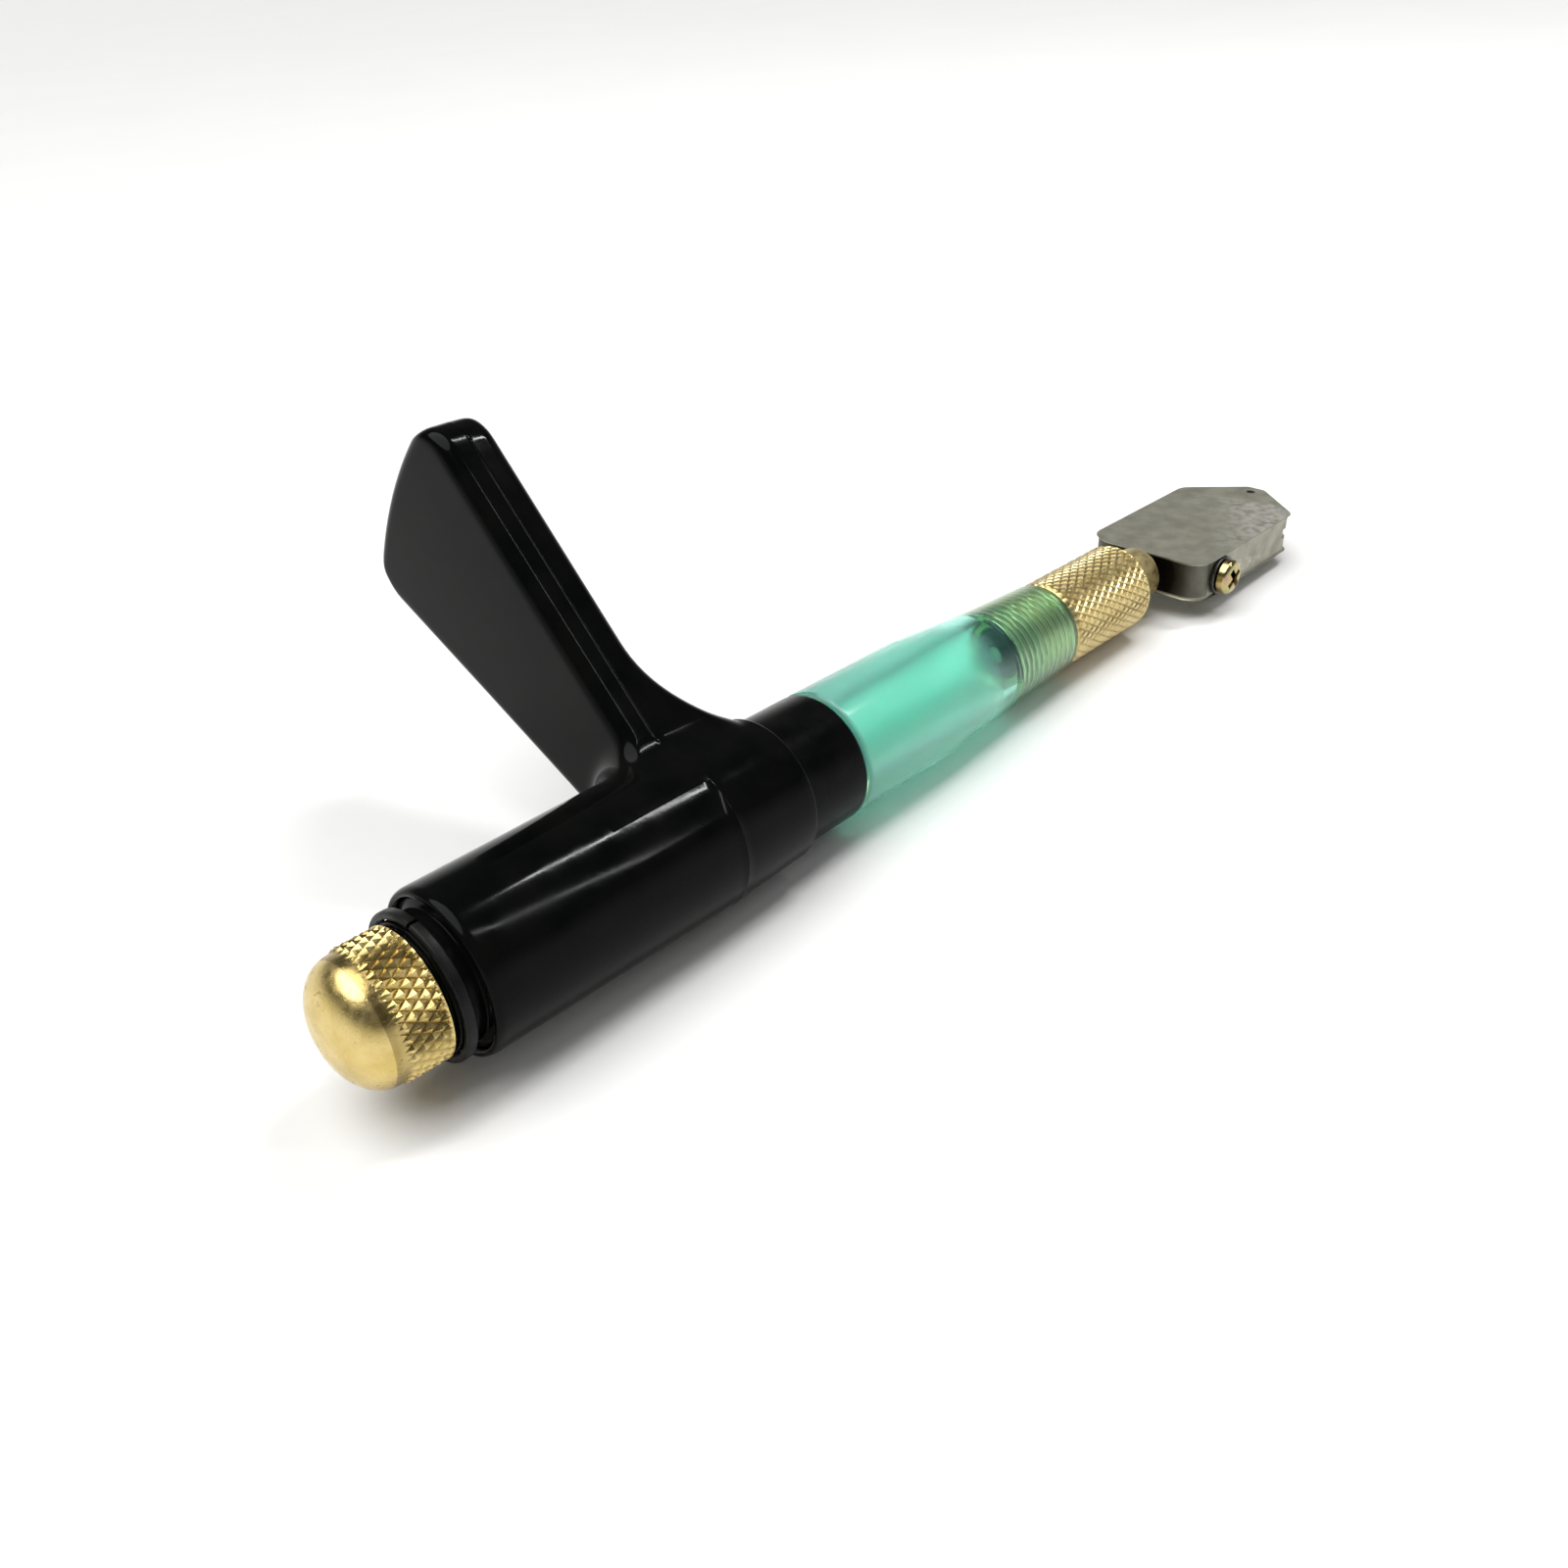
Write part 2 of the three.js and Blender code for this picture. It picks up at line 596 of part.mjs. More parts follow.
/** Steel head: bored for the post, slotted for the wheel, and drilled for its axle, screw and oil. */
function headBody() {
  const plate = new THREE.ExtrudeGeometry(headOutline(), {
    depth: HEAD_THICKNESS - 2 * HEAD_BEVEL,
    curveSegments: 6,
    bevelThickness: HEAD_BEVEL,
    bevelSize: HEAD_BEVEL,
    bevelSegments: 2,
  });
  plate.translate(0, 0, HEAD_BEVEL - HEAD_THICKNESS / 2);
  const boreEnd = POST_IN_HEAD + END_GAP + POST_PRESS_TRAVEL;
  const slotRear = HEAD_SIDE_LENGTH - SLOT_PAST_SHOULDER;
  const postHole = rod(-1, boreEnd, postBore);
  const oilWay = rod(boreEnd - 0.5, slotRear + 1, OIL_WAY_RADIUS, PIN_SEGMENTS);
  const slot = new THREE.BoxGeometry(headPoint - slotRear + 2, HEAD_WIDTH + 2, SLOT_THICKNESS);
  slot.translate((slotRear + headPoint + 2) / 2, 0, 0);
  const axleHole = rod(-HEAD_THICKNESS, HEAD_THICKNESS, AXLE_RADIUS + SLIDE_GAP, PIN_SEGMENTS);
  axleHole.rotateY(Math.PI / 2);
  axleHole.translate(wheelStation, 0, 0);
  const screwHole = rod(0, HEAD_WIDTH / 2 + 1, SCREW_THREAD_RADIUS + SLIDE_GAP, SCREW_SEGMENTS);
  screwHole.rotateZ(-Math.PI / 2);
  screwHole.translate(SCREW_STATION_IN_HEAD, 0, 0);
  return cut(plate, postHole, oilWay, slot, axleHole, screwHole);
}

/** Carbide cutting wheel with a bevelled rim, flat on the head's middle plane. */
function cuttingWheel() {
  const half = WHEEL_THICKNESS / 2;
  const hole = AXLE_RADIUS + SLIDE_GAP;
  const shoulder = WHEEL_RADIUS - half * 0.9;
  const wheel = turned([
    [-half, hole],
    [-half, shoulder],
    [0, WHEEL_RADIUS],
    [half, shoulder],
    [half, hole],
  ], ROUND_SEGMENTS);
  wheel.rotateY(-Math.PI / 2);
  return wheel;
}

/** Steel pin through the head and the wheel. */
function wheelAxle() {
  const half = HEAD_THICKNESS / 2 - AXLE_INSET;
  const axle = rod(-half, half, AXLE_RADIUS, PIN_SEGMENTS);
  axle.rotateY(-Math.PI / 2);
  return axle;
}

/** Pan-head screw with a cross recess, drawn along X with its head's underside at 0. */
function headScrew() {
  const sideFace = HEAD_WIDTH / 2 + WASHER_GAP * 2 + WASHER_THICKNESS;
  const tipEnd = sideFace - (POST_RADIUS - POST_GROOVE_DEPTH + END_GAP);
  const threadEnd = sideFace - postBore - END_GAP;
  const crown = [];
  const steps = 4;
  for (let i = steps; i >= 0; i -= 1) {
    const angle = (i / steps) * Math.PI / 2;
    const height = SCREW_HEAD_HEIGHT * (SCREW_RIM_SHARE + (1 - SCREW_RIM_SHARE) * Math.sin(angle));
    crown.push([-height, i === steps ? 0 : SCREW_HEAD_RADIUS * Math.cos(angle) ** 0.5]);
  }
  const blank = turned([
    ...crown,
    [0, SCREW_HEAD_RADIUS],
    [0, SCREW_THREAD_RADIUS],
    [threadEnd, SCREW_THREAD_RADIUS],
    [threadEnd + SCREW_TIP_CONE, SCREW_TIP_RADIUS],
    [tipEnd, SCREW_TIP_RADIUS],
    [tipEnd, 0],
  ], SCREW_SEGMENTS);
  const span = SCREW_RECESS_SPAN;
  const recess = [[span, SCREW_RECESS_WIDTH], [SCREW_RECESS_WIDTH, span]].map(([deep, wide]) => {
    const arm = new THREE.BoxGeometry(SCREW_RECESS_DEPTH + 1, deep, wide);
    return arm.translate(-SCREW_HEAD_HEIGHT - 1 + (SCREW_RECESS_DEPTH + 1) / 2, 0, 0);
  });
  const screw = cut(blank, ...recess);
  screw.rotateZ(Math.PI / 2);
  return screw;
}

/** Dark washer under the screw's head. */
function screwWasher() {
  const inner = SCREW_THREAD_RADIUS + SLIDE_GAP;
  const washer = turned([
    [0, inner],
    [0, WASHER_RADIUS],
    [WASHER_THICKNESS, WASHER_RADIUS],
    [WASHER_THICKNESS, inner],
  ], SCREW_SEGMENTS);
  washer.rotateZ(Math.PI / 2);
  return washer;
}

// ---------------------------------------------------------------- assembly

const handle = new THREE.Group();
handle.add(part('handle_sleeve', handleSleeve(), glossBlack));
handle.add(part('retaining_ring', retainingRing(), rubberBlack, RETAINING_RING_STATION));
handle.add(part('reservoir_barrel', reservoirBarrel(), greenPlastic));
handle.add(part('cap_gasket', capGasket(), rubberBlack));
handle.add(part('filler_cap', fillerCap(), brass, -END_GAP));
handle.add(part('saddle_grip', saddleGrip(), glossBlack));

const valve = new THREE.Group();
valve.position.x = ferruleStation;
valve.add(part('ferrule', ferrule(), brass));
valve.add(part('ferrule_gasket', ferruleGasket(), rubberBlack, FERRULE_GASKET_GAP));
valve.add(part('spring_plug', springPlug(), rubberBlack));
valve.add(part('oil_wick', oilWick(), felt));
valve.add(part('return_spring', returnSpring(), darkSteel));
valve.add(part('swivel_post', swivelPost(), darkSteel));
valve.add(part('post_seal', postSeal(), rubberBlack, sealStation));

const head = new THREE.Group();
head.position.x = headStation;
head.add(part('head_body', headBody(), headSteel));
head.add(part('cutting_wheel', cuttingWheel(), carbide, wheelStation));
head.add(part('wheel_axle', wheelAxle(), darkSteel, wheelStation));
const washer = part('screw_washer', screwWasher(), darkSteel, SCREW_STATION_IN_HEAD);
washer.position.y = -(HEAD_WIDTH / 2 + WASHER_GAP + WASHER_THICKNESS);
head.add(washer);
const screw = part('head_screw', headScrew(), zincYellow, SCREW_STATION_IN_HEAD);
screw.position.y = washer.position.y - WASHER_GAP;
head.add(screw);

const tool = new THREE.Group();
tool.add(handle, valve, head);

// The tool lies on the saddle's parting ring and on the front edge of the ferrule's knurl.
const drop = saddlePartingRadius - FERRULE_RADIUS;
const run = ferruleStation + FERRULE_KNURL_LENGTH - FERRULE_EDGE - SADDLE_PARTING;
tool.rotation.y = Math.atan2(drop, run);

const glassCutter = new THREE.Group();
glassCutter.add(tool);
const lying = new THREE.Box3().setFromObject(glassCutter, true);
const middle = lying.getCenter(new THREE.Vector3());
tool.position.set(-middle.x, -middle.y, -lying.min.z);

export default glassCutter;
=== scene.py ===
"""Looks of an oil-fed glass cutter with a moulded saddle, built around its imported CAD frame."""

import json
import logging
import math
from dataclasses import dataclass, field
from enum import Enum
from typing import Callable, Iterable, Sequence

import bmesh
import bpy
from mathutils import Matrix, Vector

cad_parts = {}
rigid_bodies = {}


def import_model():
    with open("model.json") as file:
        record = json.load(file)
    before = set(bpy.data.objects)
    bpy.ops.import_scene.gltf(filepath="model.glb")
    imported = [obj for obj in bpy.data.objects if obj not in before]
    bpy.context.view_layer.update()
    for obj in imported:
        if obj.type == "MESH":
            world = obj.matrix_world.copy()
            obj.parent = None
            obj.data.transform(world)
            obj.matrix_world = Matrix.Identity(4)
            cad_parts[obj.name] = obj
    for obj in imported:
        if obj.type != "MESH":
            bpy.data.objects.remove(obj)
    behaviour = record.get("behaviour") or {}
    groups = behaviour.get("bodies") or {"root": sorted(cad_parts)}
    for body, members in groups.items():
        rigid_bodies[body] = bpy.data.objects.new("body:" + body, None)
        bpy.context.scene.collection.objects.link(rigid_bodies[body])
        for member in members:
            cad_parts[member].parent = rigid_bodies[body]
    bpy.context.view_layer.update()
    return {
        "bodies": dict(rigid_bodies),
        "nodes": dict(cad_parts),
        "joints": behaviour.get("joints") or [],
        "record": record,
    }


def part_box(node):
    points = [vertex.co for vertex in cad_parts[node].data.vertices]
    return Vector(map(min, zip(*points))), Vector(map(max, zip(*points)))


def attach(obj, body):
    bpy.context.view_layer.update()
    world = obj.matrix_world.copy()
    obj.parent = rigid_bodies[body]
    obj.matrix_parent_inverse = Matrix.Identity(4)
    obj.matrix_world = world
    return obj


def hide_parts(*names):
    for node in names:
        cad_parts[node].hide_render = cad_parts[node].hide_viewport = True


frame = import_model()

LOG = logging.getLogger("glass_cutter")
MM = 0.001
TAU = math.tau
STEM_GAP = 0.2
MID_NOISE = (0.35, 0.65)

Colour = tuple[float, float, float]
Point = tuple[float, float, float]
Face = tuple[int, ...]


# ---------------------------------------------------------------- the tool's own frame


@dataclass(frozen=True)
class Span:
    """Where a CAD node lies along the tool and how far it reaches from the axis, in millimetres."""

    rear: float
    front: float
    reach: float

    @property
    def length(self) -> float:
        """Length along the tool."""
        return self.front - self.rear


@dataclass(frozen=True)
class ToolFrame:
    """The tool's own frame in millimetres: X from the cap to the wheel, 0 at the sleeve's rear face."""

    matrix: Matrix
    nodes: dict[str, bpy.types.Object]

    @classmethod
    def from_frame(cls, packed: dict) -> "ToolFrame":
        """Reads the tool's axis from the joint that the handle turns on.


        Returns:
            The tool's frame.
        """
        turn = next(j for j in packed["joints"] if j["name"] == "sleeve_turn")
        along = Vector(turn["axis"]).normalized()
        across = Vector((0.0, 1.0, 0.0))
        up = along.cross(across)
        start = Vector(turn["pos_m"])
        sleeve = packed["nodes"]["handle_sleeve"].data.vertices
        origin = start + along * min((v.co - start).dot(along) for v in sleeve)
        turned = Matrix((along, across, up)).transposed().to_4x4()
        return cls(Matrix.Translation(origin) @ turned @ Matrix.Scale(MM, 4), packed["nodes"])

    def span(self, node: str) -> Span:
        """Measures a CAD node along and around the axis."""
        back = self.matrix.inverted()
        points = [back @ v.co for v in self.nodes[node].data.vertices]
        stations = [p.x for p in points]
        return Span(min(stations), max(stations), max(math.hypot(p.y, p.z) for p in points))

    def centre(self, node: str) -> Vector:
        """Middle of a CAD node's box in the tool's frame."""
        low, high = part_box(node)
        return self.matrix.inverted() @ ((low + high) / 2)

    def place(self, point: Sequence[float]) -> Vector:
        """A point of the tool's frame in the row frame, in metres."""
        return self.matrix @ Vector(point)

    def aim(self, direction: Sequence[float]) -> Vector:
        """A direction of the tool's frame in the row frame."""
        return (self.matrix.to_3x3() @ Vector(direction)).normalized()


# ---------------------------------------------------------------- outlines and turned shapes


@dataclass(frozen=True)
class Corner:
    """A corner of a turned outline: its station, its radius and how much it is rounded."""

    station: float
    radius: float
    round: float = 0.0


def rounded(corners: Sequence[Corner], closed: bool, steps: int = 6) -> list[tuple[float, float]]:
    """Replaces each rounded corner by an arc.

    Args:
        corners: the outline's corners in order.
        closed: whether the last corner joins the first.
        steps: segments in each arc.

    Returns:
        The outline as (station, radius) points.
    """
    made: list[tuple[float, float]] = []
    count = len(corners)
    for i, corner in enumerate(corners):
        here = Vector((corner.station, corner.radius))
        ends = not closed and i in (0, count - 1)
        if corner.round <= 0.0 or ends:
            made.append(tuple(here))
            continue
        before = corners[i - 1]
        after = corners[(i + 1) % count]
        back = Vector((before.station, before.radius)) - here
        ahead = Vector((after.station, after.radius)) - here
        half = back.angle(ahead) / 2
        reach = min(corner.round / math.tan(half), 0.499 * back.length, 0.499 * ahead.length)
        radius = reach * math.tan(half)
        centre = here + (back.normalized() + ahead.normalized()).normalized() * (radius / math.sin(half))
        first = here + back.normalized() * reach - centre
        last = here + ahead.normalized() * reach - centre
        sweep = first.angle_signed(last)
        for k in range(steps + 1):
            turned = Matrix.Rotation(-sweep * k / steps, 2) @ first
            made.append(tuple(centre + turned))
    return made


def stretch(start: tuple[float, float], end: tuple[float, float], steps: int) -> list[Corner]:
    """Corners evenly spaced between two points, without the first."""
    return [
        Corner(start[0] + (end[0] - start[0]) * k / steps, start[1] + (end[1] - start[1]) * k / steps)
        for k in range(1, steps + 1)
    ]


def lathe(outline: Sequence[tuple[float, float]], columns: int, closed: bool,
          slant: Callable[[int, int], bool] | None = None) -> tuple[list[Point], list[Face]]:
    """Turns an outline about the tool's axis.

    Args:
        outline: (station, radius) points, which start and end on the axis unless closed.
        columns: faces round the axis.
        closed: whether the outline closes on itself.
        slant: for a quad at (row, column), which diagonal splits it; quads stay whole without it.

    Returns:
        Points and faces.
    """
    points: list[Point] = []
    rings: list[list[int]] = []
    for station, radius in outline:
        if radius < 1e-6:
            points.append((station, 0.0, 0.0))
            rings.append([len(points) - 1] * columns)
            continue
        start = len(points)
        for c in range(columns):
            angle = TAU * c / columns
            points.append((station, radius * math.cos(angle), radius * math.sin(angle)))
        rings.append(list(range(start, start + columns)))
    faces: list[Face] = []
    last = len(rings) if closed else len(rings) - 1
    for row in range(last):
        low, high = rings[row], rings[(row + 1) % len(rings)]
        for c in range(columns):
            d = (c + 1) % columns
            quad = (low[c], low[d], high[d], high[c])
            if len(set(quad)) < 4:
                faces.append(tuple(dict.fromkeys(quad)))
            elif slant is None:
                faces.append(quad)
            elif slant(row, c):
                faces.extend(((quad[0], quad[1], quad[2]), (quad[0], quad[2], quad[3])))
            else:
                faces.extend(((quad[0], quad[1], quad[3]), (quad[1], quad[2], quad[3])))
    return points, faces


# ---------------------------------------------------------------- making mesh objects


class Workshop:
    """Makes mesh objects in the tool's frame and sets them down in the row frame."""

    def __init__(self, tool: ToolFrame) -> None:
        """Keeps the tool's frame for the pieces that are made."""
        self.tool = tool

    def blank(self, name: str, points: Sequence[Point], faces: Sequence[Face]) -> bpy.types.Object:
        """A closed mesh object in the tool's frame with its faces outward.

        Args:
            name: the object's name.
            points: corner points in millimetres.
            faces: corner numbers of each face.

        Returns:
            The linked object.
        """
        mesh = bpy.data.meshes.new(name)
        mesh.from_pydata(points, [], faces)
        body = bmesh.new()
        body.from_mesh(mesh)
        bmesh.ops.delete(body, geom=[v for v in body.verts if not v.link_faces], context="VERTS")
        if body.calc_volume(signed=True) < 0.0:
            bmesh.ops.reverse_faces(body, faces=body.faces)
        body.to_mesh(mesh)
        body.free()
        made = bpy.data.objects.new(name, mesh)
        bpy.context.scene.collection.objects.link(made)
        return made

    def turned(self, name: str, corners: Sequence[Corner], columns: int = 128, closed: bool = True,
               steps: int = 6, slant: Callable[[int, int], bool] | None = None) -> bpy.types.Object:
        """A turned blank in the tool's frame from rounded corners."""
        points, faces = lathe(rounded(corners, closed, steps), columns, closed, slant)
        return self.blank(name, points, faces)

    def rod(self, name: str, start: Sequence[float], end: Sequence[float], radius: float,
            columns: int = 48) -> bpy.types.Object:
        """A plain rod between two points of the tool's frame, used to drill holes or as a pin."""
        first, last = Vector(start), Vector(end)
        along = last - first
        points, faces = lathe([(0.0, 0.0), (0.0, radius), (along.length, radius), (along.length, 0.0)],
                              columns, False)
        turn = Vector((1.0, 0.0, 0.0)).rotation_difference(along)
        return self.blank(name, [tuple(first + turn @ Vector(p)) for p in points], faces)

    def plain(self, piece: bpy.types.Object) -> bpy.types.Object:
        """Bakes a piece's modifiers into its mesh and removes them."""
        depsgraph = bpy.context.evaluated_depsgraph_get()
        mesh = bpy.data.meshes.new_from_object(piece.evaluated_get(depsgraph))
        piece.modifiers.clear()
        piece.data = mesh
        return piece

    def cut(self, piece: bpy.types.Object, *tools: bpy.types.Object) -> bpy.types.Object:
        """Takes each tool's shape out of the piece and removes the tools."""
        for tool in tools:
            step = piece.modifiers.new("cut", "BOOLEAN")
            step.operation = "DIFFERENCE"
            step.solver = "EXACT"
            step.object = tool
            self.plain(piece)
        for tool in tools:
            bpy.data.objects.remove(tool)
        return piece

    def finished(self, piece: bpy.types.Object, body: str, node: str, finish: "Finish",
                 crease: float = 35.0) -> bpy.types.Object:
        """Sets a piece down in the row frame, dresses it and makes it stand for its CAD node.

        Args:
            piece: a mesh object in the tool's frame.
            body: the CAD body that it rides on.
            node: the CAD node that it replaces.
            finish: its finish.
            crease: the angle in degrees past which an edge stays sharp.

        Returns:
            The piece.
        """
        mesh = piece.data
        mesh.transform(self.tool.matrix)
        mesh.materials.clear()
        mesh.materials.append(finish.material(self.tool))
        mesh.shade_smooth()
        mesh.set_sharp_from_angle(angle=math.radians(crease))
        mesh.update()
        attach(piece, body)
        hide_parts(node)
        LOG.info("%s: %d faces on %s", piece.name, len(mesh.polygons), body)
        return piece


# ---------------------------------------------------------------- geometry nodes


class NodeSketch:
    """Short calls that add and join the nodes of one tree."""

    def __init__(self, tree: bpy.types.NodeTree) -> None:
        """Starts on a tree."""
        self.tree = tree

    def add(self, kind: str, **settings: object) -> bpy.types.Node:
        """Adds a node and sets its properties."""
        node = self.tree.nodes.new(kind)
        for key, value in settings.items():
            setattr(node, key, value)
        return node

    def feed(self, socket: bpy.types.NodeSocket, value: object) -> None:
        """Joins an output to an input, or sets the input to a plain value."""
        if isinstance(value, bpy.types.NodeSocket):
            self.tree.links.new(value, socket)
        else:
            socket.default_value = value

    def maths(self, operation: str, *values: object, clamp: bool = False) -> bpy.types.NodeSocket:
        """A math node on values or sockets, and its output."""
        node = self.add("ShaderNodeMath", operation=operation, use_clamp=clamp)
        for socket, value in zip(node.inputs, values):
            self.feed(socket, value)
        return node.outputs[0]

    def split(self, vector: bpy.types.NodeSocket) -> tuple[bpy.types.NodeSocket, ...]:
        """The three parts of a vector."""
        node = self.add("ShaderNodeSeparateXYZ")
        self.feed(node.inputs[0], vector)
        return tuple(node.outputs)

    def joined(self, x: object, y: object, z: object) -> bpy.types.NodeSocket:
        """A vector of three parts."""
        node = self.add("ShaderNodeCombineXYZ")
        for socket, value in zip(node.inputs, (x, y, z)):
            self.feed(socket, value)
        return node.outputs[0]


class Pattern(Enum):
    """What is rolled or cut into a turned surface."""

    DIAMOND_KNURL = "diamond_knurl"
    SCREW_THREAD = "screw_thread"


@dataclass(frozen=True)
class Relief:
    """A pattern on one turned band, in millimetres.

    Args:
        pattern: knurl or thread.
        rear: where the band starts.
        front: where the band ends.
        radius: radius of the blank in the band.
        pitch: length of one diamond or one turn along the axis.
        depth: how deep it goes; a negative depth cuts into the wall of a bore.
        count: diamonds round the axis, or starts of the thread.
        flat: share of the height that the flat crests take.
        fade: length over which the pattern runs out at the ends of the band.
    """

    pattern: Pattern
    rear: float
    front: float
    radius: float
    pitch: float
    depth: float
    count: float = 1.0
    flat: float = 0.0
    fade: float = 0.01


class ReliefNodes:
    """Geometry Nodes that press a knurl or a thread into a turned blank."""

    BAND = 0.06
    INPUTS = ("Rear", "Front", "Radius", "Pitch", "Depth", "Count", "Flat", "Fade")

    @classmethod
    def tree(cls, pattern: Pattern) -> bpy.types.NodeTree:
        """The node tree of a pattern, built once.

        Args:
            pattern: knurl or thread.

        Returns:
            A tree with named inputs for the band's sizes and its finish.
        """
        if pattern.value in bpy.data.node_groups:
            return bpy.data.node_groups[pattern.value]
        tree = bpy.data.node_groups.new(pattern.value, "GeometryNodeTree")
        face = tree.interface
        face.new_socket("Geometry", in_out="INPUT", socket_type="NodeSocketGeometry")
        for name in cls.INPUTS:
            face.new_socket(name, in_out="INPUT", socket_type="NodeSocketFloat")
        face.new_socket("Finish", in_out="INPUT", socket_type="NodeSocketMaterial")
        face.new_socket("Geometry", in_out="OUTPUT", socket_type="NodeSocketGeometry")
        sketch = NodeSketch(tree)
        given = sketch.add("NodeGroupInput").outputs
        x, y, z = sketch.split(sketch.add("GeometryNodeInputPosition").outputs[0])
        radius = sketch.maths("SQRT", sketch.maths("ADD", sketch.maths("MULTIPLY", y, y),
                                                   sketch.maths("MULTIPLY", z, z)))
        turn = sketch.maths("DIVIDE", sketch.maths("ARCTAN2", z, y), TAU)
        round_phase = sketch.maths("MULTIPLY", turn, given["Count"])
        along = sketch.maths("DIVIDE", sketch.maths("SUBTRACT", x, given["Rear"]), given["Pitch"])
        left = sketch.maths("PINGPONG", sketch.maths("SUBTRACT", along, round_phase), 0.5)
        height = left
        if pattern is Pattern.DIAMOND_KNURL:
            right = sketch.maths("PINGPONG", sketch.maths("ADD", along, round_phase), 0.5)
            height = sketch.maths("MINIMUM", left, right)
        share = sketch.maths("SUBTRACT", 1.0, given["Flat"])
        height = sketch.maths("DIVIDE", sketch.maths("MULTIPLY", height, 2.0), share, clamp=True)
        drop = sketch.maths("MULTIPLY", sketch.maths("SUBTRACT", 1.0, height), given["Depth"])
        if pattern is Pattern.DIAMOND_KNURL:
            rolled = sketch.maths("SUBTRACT", given["Radius"], drop)
            drop = sketch.maths("MAXIMUM", sketch.maths("SUBTRACT", radius, rolled), 0.0)
        else:
            off = sketch.maths("ABSOLUTE", sketch.maths("SUBTRACT", radius, given["Radius"]))
            drop = sketch.maths("MULTIPLY", drop, sketch.maths("LESS_THAN", off, cls.BAND))
        lead = 1.0 if pattern is Pattern.DIAMOND_KNURL else 0.0
        inside = sketch.maths("ADD", sketch.maths("SUBTRACT", x, given["Rear"]), lead)
        enter = sketch.maths("DIVIDE", inside, given["Fade"], clamp=True)
        left_over = sketch.maths("SUBTRACT", given["Front"], x)
        leave = sketch.maths("DIVIDE", left_over, given["Fade"], clamp=True)
        drop = sketch.maths("MULTIPLY", drop, sketch.maths("MULTIPLY", enter, leave))
        factor = sketch.maths("DIVIDE", sketch.maths("SUBTRACT", radius, drop),
                              sketch.maths("MAXIMUM", radius, 1e-6))
        moved = sketch.joined(x, sketch.maths("MULTIPLY", y, factor), sketch.maths("MULTIPLY", z, factor))
        shape = sketch.add("GeometryNodeSetPosition")
        sketch.feed(shape.inputs["Geometry"], given["Geometry"])
        sketch.feed(shape.inputs["Position"], moved)
        cls.close(sketch, shape.outputs[0], given["Finish"])
        return tree

    @staticmethod
    def close(sketch: NodeSketch, geometry: bpy.types.NodeSocket, finish: bpy.types.NodeSocket) -> None:
        """Ends a tree with Realize Instances and Set Material."""
        real = sketch.add("GeometryNodeRealizeInstances")
        sketch.feed(real.inputs[0], geometry)
        dressed = sketch.add("GeometryNodeSetMaterial")
        sketch.feed(dressed.inputs["Geometry"], real.outputs[0])
        sketch.feed(dressed.inputs["Material"], finish)
        out = sketch.add("NodeGroupOutput")
        sketch.feed(out.inputs[0], dressed.outputs[0])

    @classmethod
    def press(cls, workshop: Workshop, piece: bpy.types.Object, relief: Relief, finish: "Finish") -> None:
        """Presses one pattern into a blank that is still in the tool's frame.

        Args:
            workshop: makes the result plain.
            piece: the turned blank.
            relief: the pattern and its band.
            finish: the finish that the tree sets.
        """
        tree = cls.tree(relief.pattern)
        step = piece.modifiers.new(relief.pattern.value, "NODES")
        step.node_group = tree
        set_input(step, "Finish", finish.material(workshop.tool))
        for name in cls.INPUTS:
            set_input(step, name, float(getattr(relief, name.lower())))
        workshop.plain(piece)


def set_input(step: bpy.types.NodesModifier, name: str, value: object) -> None:
    """Sets a modifier's named input by the identifier of its socket."""
    for item in step.node_group.interface.items_tree:
        if item.item_type == "SOCKET" and item.in_out == "INPUT" and item.name == name:
            step[item.identifier] = value
            return
    raise KeyError(name)


